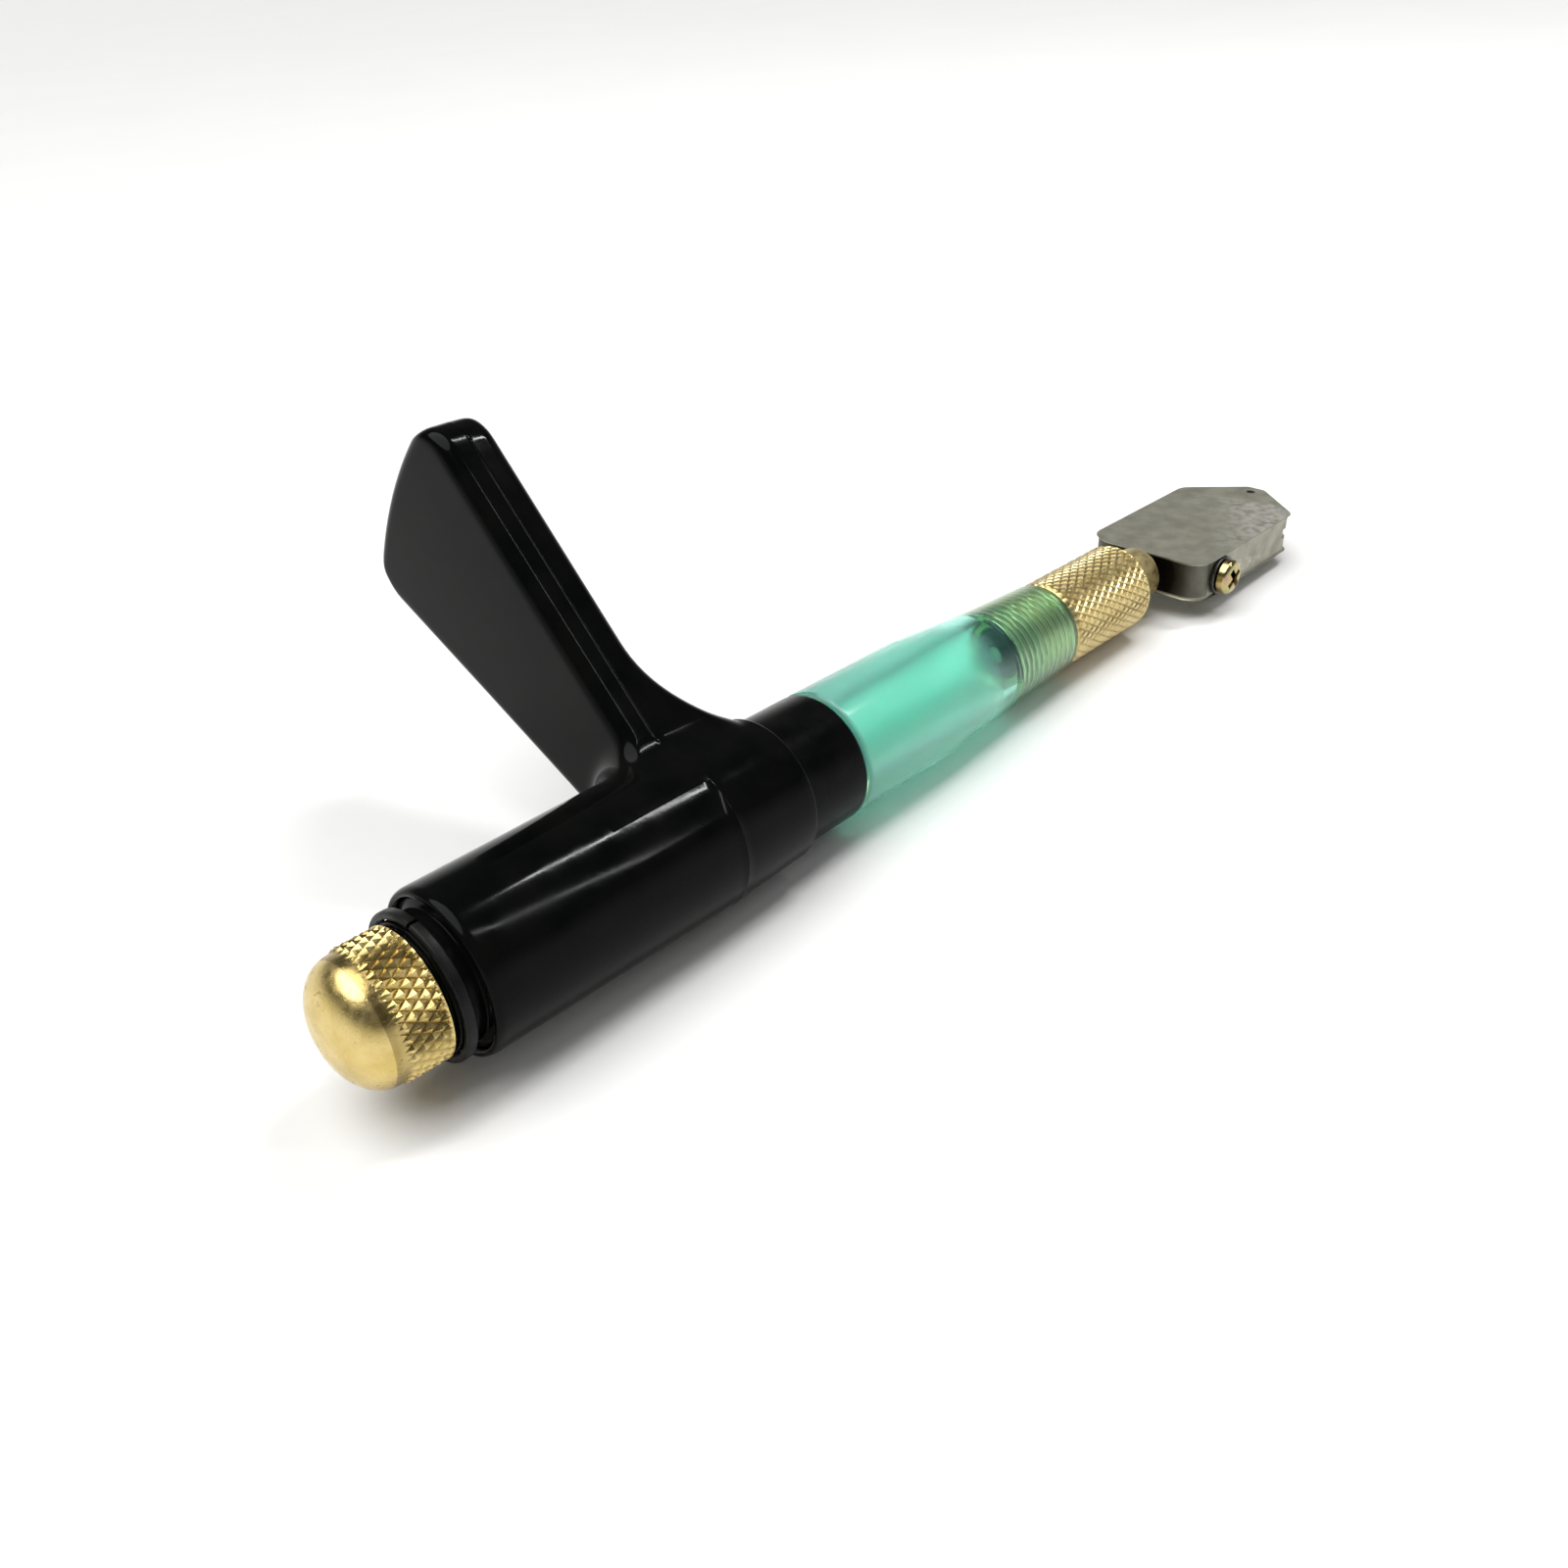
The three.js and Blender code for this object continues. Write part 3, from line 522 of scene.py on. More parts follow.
class SpringNodes:
    """Geometry Nodes that wind a wire spring along the tool's axis."""

    NAME = "coil_spring"
    POINTS_PER_TURN = 28
    WIRE_SIDES = 12

    @classmethod
    def tree(cls) -> bpy.types.NodeTree:
        """The spring's node tree with its sizes as named inputs."""
        tree = bpy.data.node_groups.new(cls.NAME, "GeometryNodeTree")
        face = tree.interface
        face.new_socket("Geometry", in_out="INPUT", socket_type="NodeSocketGeometry")
        for name in ("Rear", "Length", "Coil radius", "Wire radius", "Turns"):
            face.new_socket(name, in_out="INPUT", socket_type="NodeSocketFloat")
        face.new_socket("Finish", in_out="INPUT", socket_type="NodeSocketMaterial")
        face.new_socket("Geometry", in_out="OUTPUT", socket_type="NodeSocketGeometry")
        sketch = NodeSketch(tree)
        given = sketch.add("NodeGroupInput").outputs
        spiral = sketch.add("GeometryNodeCurveSpiral")
        sketch.feed(spiral.inputs["Resolution"], cls.POINTS_PER_TURN)
        sketch.feed(spiral.inputs["Rotations"], given["Turns"])
        sketch.feed(spiral.inputs["Start Radius"], given["Coil radius"])
        sketch.feed(spiral.inputs["End Radius"], given["Coil radius"])
        sketch.feed(spiral.inputs["Height"], given["Length"])
        wire = sketch.add("GeometryNodeCurvePrimitiveCircle")
        sketch.feed(wire.inputs["Resolution"], cls.WIRE_SIDES)
        sketch.feed(wire.inputs["Radius"], given["Wire radius"])
        tube = sketch.add("GeometryNodeCurveToMesh")
        sketch.feed(tube.inputs["Curve"], spiral.outputs[0])
        sketch.feed(tube.inputs["Profile Curve"], wire.outputs[0])
        sketch.feed(tube.inputs["Fill Caps"], True)
        laid = sketch.add("GeometryNodeTransform")
        sketch.feed(laid.inputs["Geometry"], tube.outputs[0])
        sketch.feed(laid.inputs["Translation"], sketch.joined(given["Rear"], 0.0, 0.0))
        sketch.feed(laid.inputs["Rotation"], (0.0, math.pi / 2, 0.0))
        ReliefNodes.close(sketch, laid.outputs[0], given["Finish"])
        return tree


# ---------------------------------------------------------------- finishes


@dataclass(frozen=True)
class Finish:
    """A procedural finish: two colours mixed by a slow noise, with its own roughness and fine relief.

    Args:
        name: the material's name.
        slot: the record's material slot; not used.
        main: the main colour, linear.
        other: the colour of its cloudy patches.
        metallic: 1 for bare metal.
        roughness: lowest and highest roughness over the surface.
        cloud: size of the colour patches in millimetres.
        grain: size of the fine relief in millimetres.
        relief: height of the fine relief in millimetres.
        stretch: how much longer the grain is along the tool than across it.
        bend: index of refraction, which sets how strongly a bare surface mirrors.
    """

    name: str
    slot: str
    main: Colour
    other: Colour
    metallic: float = 0.0
    roughness: tuple[float, float] = (0.3, 0.4)
    cloud: float = 4.0
    grain: float = 0.5
    relief: float = 0.004
    stretch: float = 1.0
    bend: float = 1.45

    def material(self, tool: ToolFrame) -> bpy.types.Material:
        """The finish as a material, made once.

        Args:
            tool: the tool's frame, in which the patterns are laid out.

        Returns:
            The material.
        """
        if self.name in bpy.data.materials:
            return bpy.data.materials[self.name]
        made = bpy.data.materials.new(self.name)
        made.use_nodes = True
        made.node_tree.nodes.clear()
        sketch = NodeSketch(made.node_tree)
        shader = sketch.add("ShaderNodeBsdfPrincipled")
        out = sketch.add("ShaderNodeOutputMaterial")
        sketch.feed(out.inputs["Surface"], shader.outputs[0])
        sketch.feed(shader.inputs["Metallic"], self.metallic)
        sketch.feed(shader.inputs["IOR"], self.bend)
        place = tool_coordinates(sketch, tool)
        self.dress(sketch, shader, place, tool)
        return made

    def dress(self, sketch: NodeSketch, shader: bpy.types.Node, place: bpy.types.NodeSocket,
              tool: ToolFrame) -> None:
        """Joins colour, roughness and relief to the shader.

        Args:
            sketch: the material's nodes.
            shader: the principled shader.
            place: coordinates in the tool's frame, in millimetres.
            tool: the tool's frame, for finishes that follow a piece's place.
        """
        sketch.feed(shader.inputs["Base Color"], self.colour(sketch, place, tool))
        smudge = noise(sketch, place, 1.7 / self.cloud, detail=6.0, offset=31.0)
        sketch.feed(shader.inputs["Roughness"], spread(sketch, smudge, *MID_NOISE, *self.roughness))
        sketch.feed(shader.inputs["Normal"], self.fine_relief(sketch, place))

    def colour(self, sketch: NodeSketch, place: bpy.types.NodeSocket,
               tool: ToolFrame) -> bpy.types.NodeSocket:
        """The two colours mixed in cloudy patches."""
        clouds = noise(sketch, place, 1.0 / self.cloud, detail=4.0)
        return blend(sketch, spread(sketch, clouds, *MID_NOISE), self.main, self.other)

    def fine_relief(self, sketch: NodeSketch, place: bpy.types.NodeSocket) -> bpy.types.NodeSocket:
        """A bump of the finish's grain."""
        squeezed = mapped(sketch, place, scale=(1.0 / self.stretch, 1.0, 1.0))
        grain = noise(sketch, squeezed, 1.0 / self.grain, detail=3.0, offset=7.0)
        return bump(sketch, grain, self.relief)


def tool_coordinates(sketch: NodeSketch, tool: ToolFrame) -> bpy.types.NodeSocket:
    """Object coordinates turned into the tool's frame, in millimetres.

    Args:
        sketch: the material's nodes.
        tool: the tool's frame.

    Returns:
        The coordinates' socket.
    """
    back = tool.matrix.inverted()
    given = sketch.add("ShaderNodeTexCoord").outputs["Object"]
    return mapped(sketch, given, location=tuple(back.translation),
                  rotation=tuple(back.to_3x3().normalized().to_euler()), scale=(1 / MM,) * 3)


def mapped(sketch: NodeSketch, vector: bpy.types.NodeSocket, location: Point = (0.0, 0.0, 0.0),
           rotation: Point = (0.0, 0.0, 0.0), scale: Point = (1.0, 1.0, 1.0)) -> bpy.types.NodeSocket:
    """A vector scaled, turned and moved by a Mapping node."""
    node = sketch.add("ShaderNodeMapping", vector_type="POINT")
    sketch.feed(node.inputs["Vector"], vector)
    sketch.feed(node.inputs["Location"], location)
    sketch.feed(node.inputs["Rotation"], rotation)
    sketch.feed(node.inputs["Scale"], scale)
    return node.outputs[0]


def noise(sketch: NodeSketch, place: bpy.types.NodeSocket, scale: float, detail: float = 2.0,
          offset: float = 0.0) -> bpy.types.NodeSocket:
    """A noise between 0 and 1, moved by a fixed offset so that no two look alike."""
    node = sketch.add("ShaderNodeTexNoise", noise_dimensions="3D")
    sketch.feed(node.inputs["Vector"], mapped(sketch, place, location=(offset, offset, offset)))
    sketch.feed(node.inputs["Scale"], scale)
    sketch.feed(node.inputs["Detail"], detail)
    return node.outputs["Fac"]


def spread(sketch: NodeSketch, value: object, low: float, high: float, to_low: float = 0.0,
           to_high: float = 1.0) -> bpy.types.NodeSocket:
    """A value spread from one range to another and held at its ends."""
    node = sketch.add("ShaderNodeMapRange", clamp=True)
    for socket, given in zip(node.inputs, (value, low, high, to_low, to_high)):
        sketch.feed(socket, given)
    return node.outputs[0]


def blend(sketch: NodeSketch, share: object, first: object, second: object) -> bpy.types.NodeSocket:
    """A mix of two colours or colour sockets."""
    node = sketch.add("ShaderNodeMix", data_type="RGBA")
    sketch.feed(node.inputs[0], share)
    for socket, colour in ((node.inputs[6], first), (node.inputs[7], second)):
        sketch.feed(socket, (*colour, 1.0) if isinstance(colour, tuple) else colour)
    return node.outputs[2]


def bump(sketch: NodeSketch, height: bpy.types.NodeSocket, depth: float,
         under: bpy.types.NodeSocket | None = None) -> bpy.types.NodeSocket:
    """A bump of a height map, whose depth is in millimetres."""
    node = sketch.add("ShaderNodeBump")
    sketch.feed(node.inputs["Strength"], 1.0)
    sketch.feed(node.inputs["Distance"], depth * MM)
    sketch.feed(node.inputs["Height"], height)
    if under is not None:
        sketch.feed(node.inputs["Normal"], under)
    return node.outputs[0]


def axis_distance(sketch: NodeSketch, place: bpy.types.NodeSocket) -> bpy.types.NodeSocket:
    """Distance from the tool's axis in millimetres."""
    _, y, z = sketch.split(place)
    return sketch.maths("SQRT", sketch.maths("ADD", sketch.maths("MULTIPLY", y, y),
                                             sketch.maths("MULTIPLY", z, z)))


@dataclass(frozen=True)
class KnurledBrass(Finish):
    """Turned brass with painted shade in its knurl's grooves, tarnished spots and light scratches.

    Args:
        crest: radius of the knurl's crests in millimetres.
        groove: depth of the knurl's grooves in millimetres.
        spots: how much of the surface is tarnished.
        tarnish_and_groove_shade: the colour of the tarnished spots and of the painted shade in the grooves.
        groove_shade: how dark the painted shade in the grooves is.
        matt: the colour of the matt metal, lighter than the main colour as painted light.
        matt_behind: the station behind which the metal is rougher and painted lighter.
    """

    SPOT_ROUGHNESS = 0.25
    MATT_ROUGHNESS = 0.25

    crest: float = 6.0
    groove: float = 0.25
    spots: float = 0.3
    tarnish_and_groove_shade: Colour = (0.17, 0.115, 0.04)
    groove_shade: float = 0.55
    matt: Colour = (0.99, 0.84, 0.36)
    matt_behind: float = -99.0

    def dress(self, sketch: NodeSketch, shader: bpy.types.Node, place: bpy.types.NodeSocket,
              tool: ToolFrame) -> None:
        """Joins the brass colours with tarnished spots, painted shade in the grooves, and a brushed relief.
        """
        clouds = spread(sketch, noise(sketch, place, 1.0 / self.cloud, detail=5.0), *MID_NOISE)
        body = blend(sketch, clouds, self.main, self.other)
        specks = noise(sketch, place, 2.6, detail=8.0, offset=11.0)
        patches = noise(sketch, place, 0.45, detail=2.0, offset=53.0)
        spotted = sketch.maths("MULTIPLY", spread(sketch, specks, 0.60, 0.70),
                               spread(sketch, patches, 0.46, 0.62), clamp=True)
        body = blend(sketch, sketch.maths("MULTIPLY", spotted, self.spots), body, self.tarnish_and_groove_shade)
        # Painted shade: the knurl's grooves are darkened towards their floor.
        reach = axis_distance(sketch, place)
        floor = self.crest - self.groove
        deep = spread(sketch, reach, floor, self.crest - 0.35 * self.groove, self.groove_shade, 0.0)
        in_band = sketch.maths("GREATER_THAN", reach, self.crest - 1.3 * self.groove)
        body = blend(sketch, sketch.maths("MULTIPLY", deep, in_band), body, self.tarnish_and_groove_shade)
        # Painted light: behind matt_behind the brass takes the lighter matt colour; it is also made rougher.
        x, _, _ = sketch.split(place)
        matt = sketch.maths("LESS_THAN", x, self.matt_behind)
        sketch.feed(shader.inputs["Base Color"], blend(sketch, matt, body, self.matt))
        smudge = noise(sketch, place, 1.1, detail=6.0, offset=31.0)
        rough = spread(sketch, smudge, *MID_NOISE, *self.roughness)
        rough = sketch.maths("ADD", rough, sketch.maths("MULTIPLY", spotted, self.SPOT_ROUGHNESS))
        rough = sketch.maths("ADD", rough, sketch.maths("MULTIPLY", matt, self.MATT_ROUGHNESS))
        sketch.feed(shader.inputs["Roughness"], rough)
        lathe_marks = noise(sketch, mapped(sketch, place, scale=(14.0, 0.6, 0.6)), 1.0, detail=3.0)
        marks = bump(sketch, lathe_marks, 0.0016)
        pits = spread(sketch, noise(sketch, place, 4.5, detail=2.0, offset=17.0), 0.30, 0.42)
        sketch.feed(shader.inputs["Normal"], bump(sketch, pits, 0.005, under=marks))


@dataclass(frozen=True)
class ClearPlastic(Finish):
    """Milky moulded plastic with a matt bore, clear and polished towards the ferrule's thread.

    Args:
        bore: radius of the bore's wall in millimetres.
        clear: share of the light that passes through its milky body.
        thread_clear: share of the light that passes over the ferrule's thread.
        polished_from: the station where the bore starts to be polished.
        polished_to: the station from which it is fully polished.
        threaded: the station where the ferrule's thread starts.
        oiled: the colour of the thread, where oil joins the plastic to the brass.
        depth: how far light spreads in the milky body, in millimetres.
    """

    SPREAD_OF_COLOURS = (0.55, 1.0, 0.9)
    POLISHED_SHARE = 0.4
    THREAD_REACH = 0.8
    THREAD_ROUGHNESS = 0.18

    bore: float = 3.9
    clear: float = 0.80
    thread_clear: float = 0.97
    polished_from: float = 71.0
    polished_to: float = 73.5
    threaded: float = 77.5
    oiled: Colour = (0.80, 0.66, 0.40)
    depth: float = 3.0

    def dress(self, sketch: NodeSketch, shader: bpy.types.Node, place: bpy.types.NodeSocket,
              tool: ToolFrame) -> None:
        """Joins a cloudy tint, a matt bore, an oiled thread and a skin with faint flow marks."""
        x, _, _ = sketch.split(place)
        reach = axis_distance(sketch, place)
        wetted = sketch.maths("MULTIPLY", sketch.maths("GREATER_THAN", x, self.threaded),
                              sketch.maths("LESS_THAN", reach, self.bore + self.THREAD_REACH))
        polished = spread(sketch, x, self.polished_from, self.polished_to)
        clear = spread(sketch, polished, 0.0, 1.0, self.clear, self.thread_clear)
        sketch.feed(shader.inputs["Transmission Weight"],
                    sketch.maths("MULTIPLY", clear, sketch.maths("SUBTRACT", 1.0, wetted)))
        sketch.feed(shader.inputs["Metallic"], wetted)
        sketch.feed(shader.inputs["Subsurface Weight"], 1.0)
        sketch.feed(shader.inputs["Subsurface Radius"], self.SPREAD_OF_COLOURS)
        sketch.feed(shader.inputs["Subsurface Scale"], self.depth * MM)
        flow = noise(sketch, mapped(sketch, place, scale=(0.25, 1.0, 1.0)), 1.0 / self.cloud, detail=3.0)
        body = blend(sketch, spread(sketch, flow, *MID_NOISE), self.main, self.other)
        sketch.feed(shader.inputs["Base Color"], blend(sketch, wetted, body, self.oiled))
        skin, wall = self.roughness
        rough = spread(sketch, reach, self.bore + 0.4, self.bore + 0.9, wall, skin)
        rough = sketch.maths("MULTIPLY", rough, spread(sketch, polished, 0.0, 1.0, 1.0, self.POLISHED_SHARE))
        rough = sketch.maths("ADD", rough, sketch.maths("MULTIPLY", wetted, self.THREAD_ROUGHNESS))
        sketch.feed(shader.inputs["Roughness"], rough)
        sketch.feed(shader.inputs["Normal"], self.fine_relief(sketch, place))


@dataclass(frozen=True)
class TumbledSteel(Finish):
    """Tumbled nickel-grey steel: fine dents, smoky patches, bright rubbed edges and painted shade by the
    post.

    Args:
        rubbed: the colour of worn edges.
        painted_shade: the colour of the painted shade round the post, where the rear face meets the collar.
        shade_near: distance from the axis within which the painted shade is darkest.
        shade_far: distance from the axis where it is faintest.
        shade_least: how much of it is left there.
        shade_length: how far it runs from the rear face.
        rear: station of the rear face.
        half: half the distance between the flat faces.
        edge: width of the band beside the flat faces that the painted shade leaves out.
    """

    rubbed: Colour = (0.55, 0.53, 0.49)
    painted_shade: Colour = (0.012, 0.010, 0.008)
    shade_near: float = 4.3
    shade_far: float = 9.0
    shade_least: float = 0.45
    shade_length: float = 2.4
    rear: float = 111.9
    half: float = 2.55
    edge: float = 0.35

    def dress(self, sketch: NodeSketch, shader: bpy.types.Node, place: bpy.types.NodeSocket,
              tool: ToolFrame) -> None:
        """Joins smoky colours, edge wear from the mesh's own curvature, painted shade round the post,
        and two sizes of dents.
        """
        smoke = spread(sketch, noise(sketch, place, 1.0 / self.cloud, detail=8.0), 0.34, 0.66)
        body = blend(sketch, smoke, self.main, self.other)
        sharp = sketch.add("ShaderNodeNewGeometry").outputs["Pointiness"]
        rub = noise(sketch, place, 0.9, detail=6.0, offset=23.0)
        worn = sketch.maths("MULTIPLY", spread(sketch, sharp, 0.51, 0.56), spread(sketch, rub, 0.35, 0.60))
        body = blend(sketch, worn, body, self.rubbed)
        # Painted shade: the rear face is darkened round the post, where it meets the collar.
        x, _, z = sketch.split(place)
        reach = axis_distance(sketch, place)
        near = spread(sketch, reach, self.shade_near, self.shade_far, 1.0, self.shade_least)
        at_rear = sketch.maths("LESS_THAN", x, self.rear + self.shade_length)
        inner = sketch.maths("LESS_THAN", sketch.maths("ABSOLUTE", z), self.half - self.edge)
        painted_shade_share = sketch.maths("MULTIPLY", near, sketch.maths("MULTIPLY", at_rear, inner))
        sketch.feed(shader.inputs["Base Color"], blend(sketch, painted_shade_share, body, self.painted_shade))
        fine = noise(sketch, place, 7.0, detail=4.0, offset=3.0)
        sketch.feed(shader.inputs["Roughness"], spread(sketch, fine, 0.3, 0.7, *self.roughness))
        dents = noise(sketch, place, 1.3, detail=3.0, offset=41.0)
        rough_skin = bump(sketch, dents, 0.05)
        sketch.feed(shader.inputs["Normal"], bump(sketch, fine, self.relief, under=rough_skin))


@dataclass(frozen=True)
class ZincPlate(Finish):
    """Yellow zinc plate with green and pink tints, and painted shade in the screw's recess.

    Args:
        greenish: the colour of its third tint.
        painted_shade: the colour of the painted shade in the recess.
        recess: radius of the recess in millimetres.
        recess_depth: how far under the crown the painted shade starts.
    """

    greenish: Colour = (0.38, 0.42, 0.17)
    painted_shade: Colour = (0.09, 0.045, 0.015)
    recess: float = 1.8
    recess_depth: float = 0.3

    def colour(self, sketch: NodeSketch, place: bpy.types.NodeSocket,
               tool: ToolFrame) -> bpy.types.NodeSocket:
        """The plate's tints, and painted shade in the recess of the screw."""
        centre = tool.centre("head_screw")
        crown = (tool.matrix.inverted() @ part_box("head_screw")[0]).y
        tint = spread(sketch, noise(sketch, place, 1.3, detail=2.0, offset=19.0), 0.48, 0.62)
        body = blend(sketch, tint, super().colour(sketch, place, tool), self.greenish)
        x, y, z = sketch.split(place)
        dx = sketch.maths("SUBTRACT", x, centre.x)
        dz = sketch.maths("SUBTRACT", z, centre.z)
        across = sketch.maths("SQRT", sketch.maths("ADD", sketch.maths("MULTIPLY", dx, dx),
                                                   sketch.maths("MULTIPLY", dz, dz)))
        # Painted shade: the screw's recess is darkened from a little under the crown inward.
        start = crown + self.recess_depth
        deep = spread(sketch, y, start - 0.1, start + 0.25)
        inside = sketch.maths("MULTIPLY", deep, sketch.maths("LESS_THAN", across, self.recess))
        return blend(sketch, inside, body, self.painted_shade)


GLOSS_BLACK = Finish(
    "gloss_black_moulding", "black_plastic", (0.0016, 0.0020, 0.0019), (0.0034, 0.0038, 0.0033),
    roughness=(0.07, 0.13), cloud=5.0, grain=0.45, relief=0.0024, bend=1.155)
SATIN_BLACK = Finish(
    "satin_black_tube", "black_plastic", (0.0018, 0.0021, 0.0021), (0.0040, 0.0043, 0.0040),
    roughness=(0.15, 0.23), cloud=3.0, grain=0.6, relief=0.0020, stretch=6.0, bend=1.13)
RUBBER = Finish(
    "black_rubber_ring", "black_rubber", (0.0030, 0.0032, 0.0032), (0.0065, 0.0065, 0.0065),
    roughness=(0.32, 0.48), cloud=1.5, grain=0.25, relief=0.006, bend=1.25)
CAP_BRASS = KnurledBrass(
    "cap_brass", "brass", (0.73, 0.57, 0.24), (0.61, 0.46, 0.16), metallic=1.0,
    roughness=(0.20, 0.33), cloud=2.2, crest=6.16, groove=0.32, spots=0.8)
FERRULE_BRASS = KnurledBrass(
    "ferrule_brass", "brass", (0.70, 0.57, 0.28), (0.60, 0.47, 0.20), metallic=1.0,
    roughness=(0.30, 0.42), cloud=2.0, crest=5.45, groove=0.16, spots=0.3, groove_shade=0.35, matt_behind=88.4)
MINT_PLASTIC = ClearPlastic(
    "mint_reservoir", "green_reservoir", (0.38, 0.94, 0.76), (0.46, 0.96, 0.82),
    roughness=(0.12, 0.30), cloud=6.0, grain=2.2, relief=0.006, stretch=3.0, bend=1.47)
HEAD_STEEL = TumbledSteel(
    "tumbled_head_steel", "head_steel", (0.39, 0.385, 0.315), (0.29, 0.28, 0.225), metallic=1.0,
    roughness=(0.46, 0.62), cloud=2.6, relief=0.006)
DARK_STEEL = Finish(
    "dark_oiled_steel", "dark_steel", (0.05, 0.048, 0.045), (0.09, 0.085, 0.08), metallic=1.0,
    roughness=(0.25, 0.4), cloud=0.8, grain=0.2, relief=0.004)
SPRING_STEEL = Finish(
    "bright_spring_wire", "spring_steel", (0.55, 0.55, 0.55), (0.42, 0.42, 0.43), metallic=1.0,
    roughness=(0.18, 0.3), cloud=1.0, grain=0.15, relief=0.003)
YELLOW_ZINC = ZincPlate(
    "yellow_zinc_plate", "zinc_screw", (0.50, 0.40, 0.16), (0.44, 0.29, 0.20), metallic=1.0,
    roughness=(0.14, 0.26), cloud=0.9, grain=0.3, relief=0.004)
CARBIDE = Finish(
    "ground_carbide", "carbide", (0.40, 0.41, 0.42), (0.30, 0.31, 0.32), metallic=1.0,
    roughness=(0.12, 0.2), cloud=0.5, grain=0.08, relief=0.002)
FELT = Finish(
    "oiled_felt", "wick_felt", (0.62, 0.57, 0.44), (0.48, 0.43, 0.31),
    roughness=(0.85, 0.95), cloud=0.5, grain=0.12, relief=0.05)
PALE_FLOOR = Finish(
    "pale_floor", "", (0.90, 0.90, 0.89), (0.91, 0.91, 0.90),
    roughness=(0.55, 0.6), cloud=60.0, grain=3.0, relief=0.01)


# ---------------------------------------------------------------- sub-assemblies


def knurl_slant(first_row: int, last_row: int, per_cell: int) -> Callable[[int, int], bool]:
    """Which way the quads of a knurled band split, so that every groove follows mesh edges.

    Args:
        first_row: the band's first row in the outline.
        last_row: the band's last row.
        per_cell: rows and columns in half a diamond.

    Returns:
        A function of row and column.
    """
    def slant(row: int, column: int) -> bool:
        """True where the split runs from the first corner to the third."""
        if not first_row - per_cell <= row < last_row:
            return True
        return ((row - first_row) // per_cell + column // per_cell) % 2 == 0

    return slant


@dataclass
class FillerCap:
    """Brass cap: a knurled band, a worn dome, and a threaded stem with its gasket."""

    workshop: Workshop
    stem_pitch: float = 1.0
    knurl_length: float = 3.6
    knurl_count: int = 37
    knurl_pitch: float = 1.76
    knurl_depth: float = 0.32
    chamfer: float = 0.25
    dome_step: float = 0.26
    dome_power: float = 2.25
    dome_rings: int = 25
    shoulder_rows: int = 2
    tip_gap: float = 0.03
    cell_rows: int = 4
    gasket_gap: float = 0.3
    stem_chamfer: float = 0.4
    thread_depth: float = 0.35

    def build(self) -> None:
        """Makes the cap and its gasket."""
        self.cap()
        self.gasket()

    def cap(self) -> bpy.types.Object:
        """The cap in one piece."""
        size = self.workshop.tool.span("filler_cap")
        gasket = self.workshop.tool.span("cap_gasket")
        face = gasket.rear - self.gasket_gap
        crest = size.reach
        step = self.knurl_pitch / 2 / self.cell_rows
        rows = round(self.knurl_length / step)
        band_front = face - self.chamfer
        band_rear = band_front - rows * step
        tip = size.rear + self.tip_gap
        corners = [Corner(tip, 0.0)]
        base = crest - self.dome_step
        shoulder = band_rear - self.shoulder_rows * step
        share = 2 / self.dome_power
        for k in range(1, self.dome_rings):
            angle = math.pi / 2 * k / self.dome_rings
            corners.append(Corner(shoulder - (shoulder - tip) * math.cos(angle)**share,
                                  base * math.sin(angle)**share))
        first = len(corners) + self.shoulder_rows
        corners.extend(Corner(band_rear - step * k, crest - self.dome_step * k / self.shoulder_rows)
                       for k in range(self.shoulder_rows, 0, -1))
        corners.extend(Corner(band_rear + step * k, crest) for k in range(rows + 1))
        corners.append(Corner(face, crest - 0.5 * self.knurl_depth - self.chamfer))
        stem = gasket_bore(self.workshop.tool)
        corners.append(Corner(face, stem))
        thread = 10 * round(size.front - face)
        corners.extend(stretch((face, stem), (size.front - self.stem_chamfer, stem), thread))
        corners.extend((Corner(size.front, stem - self.stem_chamfer), Corner(size.front, 0.0)))
        columns = self.knurl_count * 2 * self.cell_rows
        piece = self.workshop.turned("filler_cap_brass", corners, columns, closed=False,
                                     slant=knurl_slant(first, first + rows, self.cell_rows))
        ReliefNodes.press(self.workshop, piece, Relief(
            Pattern.DIAMOND_KNURL, band_rear, band_front, crest, self.knurl_pitch, self.knurl_depth,
            count=self.knurl_count, flat=0.06), CAP_BRASS)
        ReliefNodes.press(self.workshop, piece, Relief(
            Pattern.SCREW_THREAD, face + 0.2, size.front - 0.3, stem, self.stem_pitch, self.thread_depth,
            flat=0.2, fade=0.6), CAP_BRASS)
        return self.workshop.finished(piece, "cap", "filler_cap", CAP_BRASS, crease=24.0)

    def gasket(self) -> bpy.types.Object:
        """Flat rubber ring under the cap."""
        size = self.workshop.tool.span("cap_gasket")
        inner = gasket_bore(self.workshop.tool) + STEM_GAP
        piece = self.workshop.turned("cap_gasket_ring", [
            Corner(size.rear, inner, 0.12), Corner(size.rear, size.reach, 0.12),
            Corner(size.front, size.reach, 0.12), Corner(size.front, inner, 0.12)], 96)
        return self.workshop.finished(piece, "cap_lift", "cap_gasket", RUBBER)


def gasket_bore(tool: ToolFrame) -> float:
    """Radius of the cap's stem: the least distance from the axis of the gasket's wall, less its gap."""
    back = tool.matrix.inverted()
    points = [back @ v.co for v in tool.nodes["cap_gasket"].data.vertices]
    return min(math.hypot(p.y, p.z) for p in points) - STEM_GAP


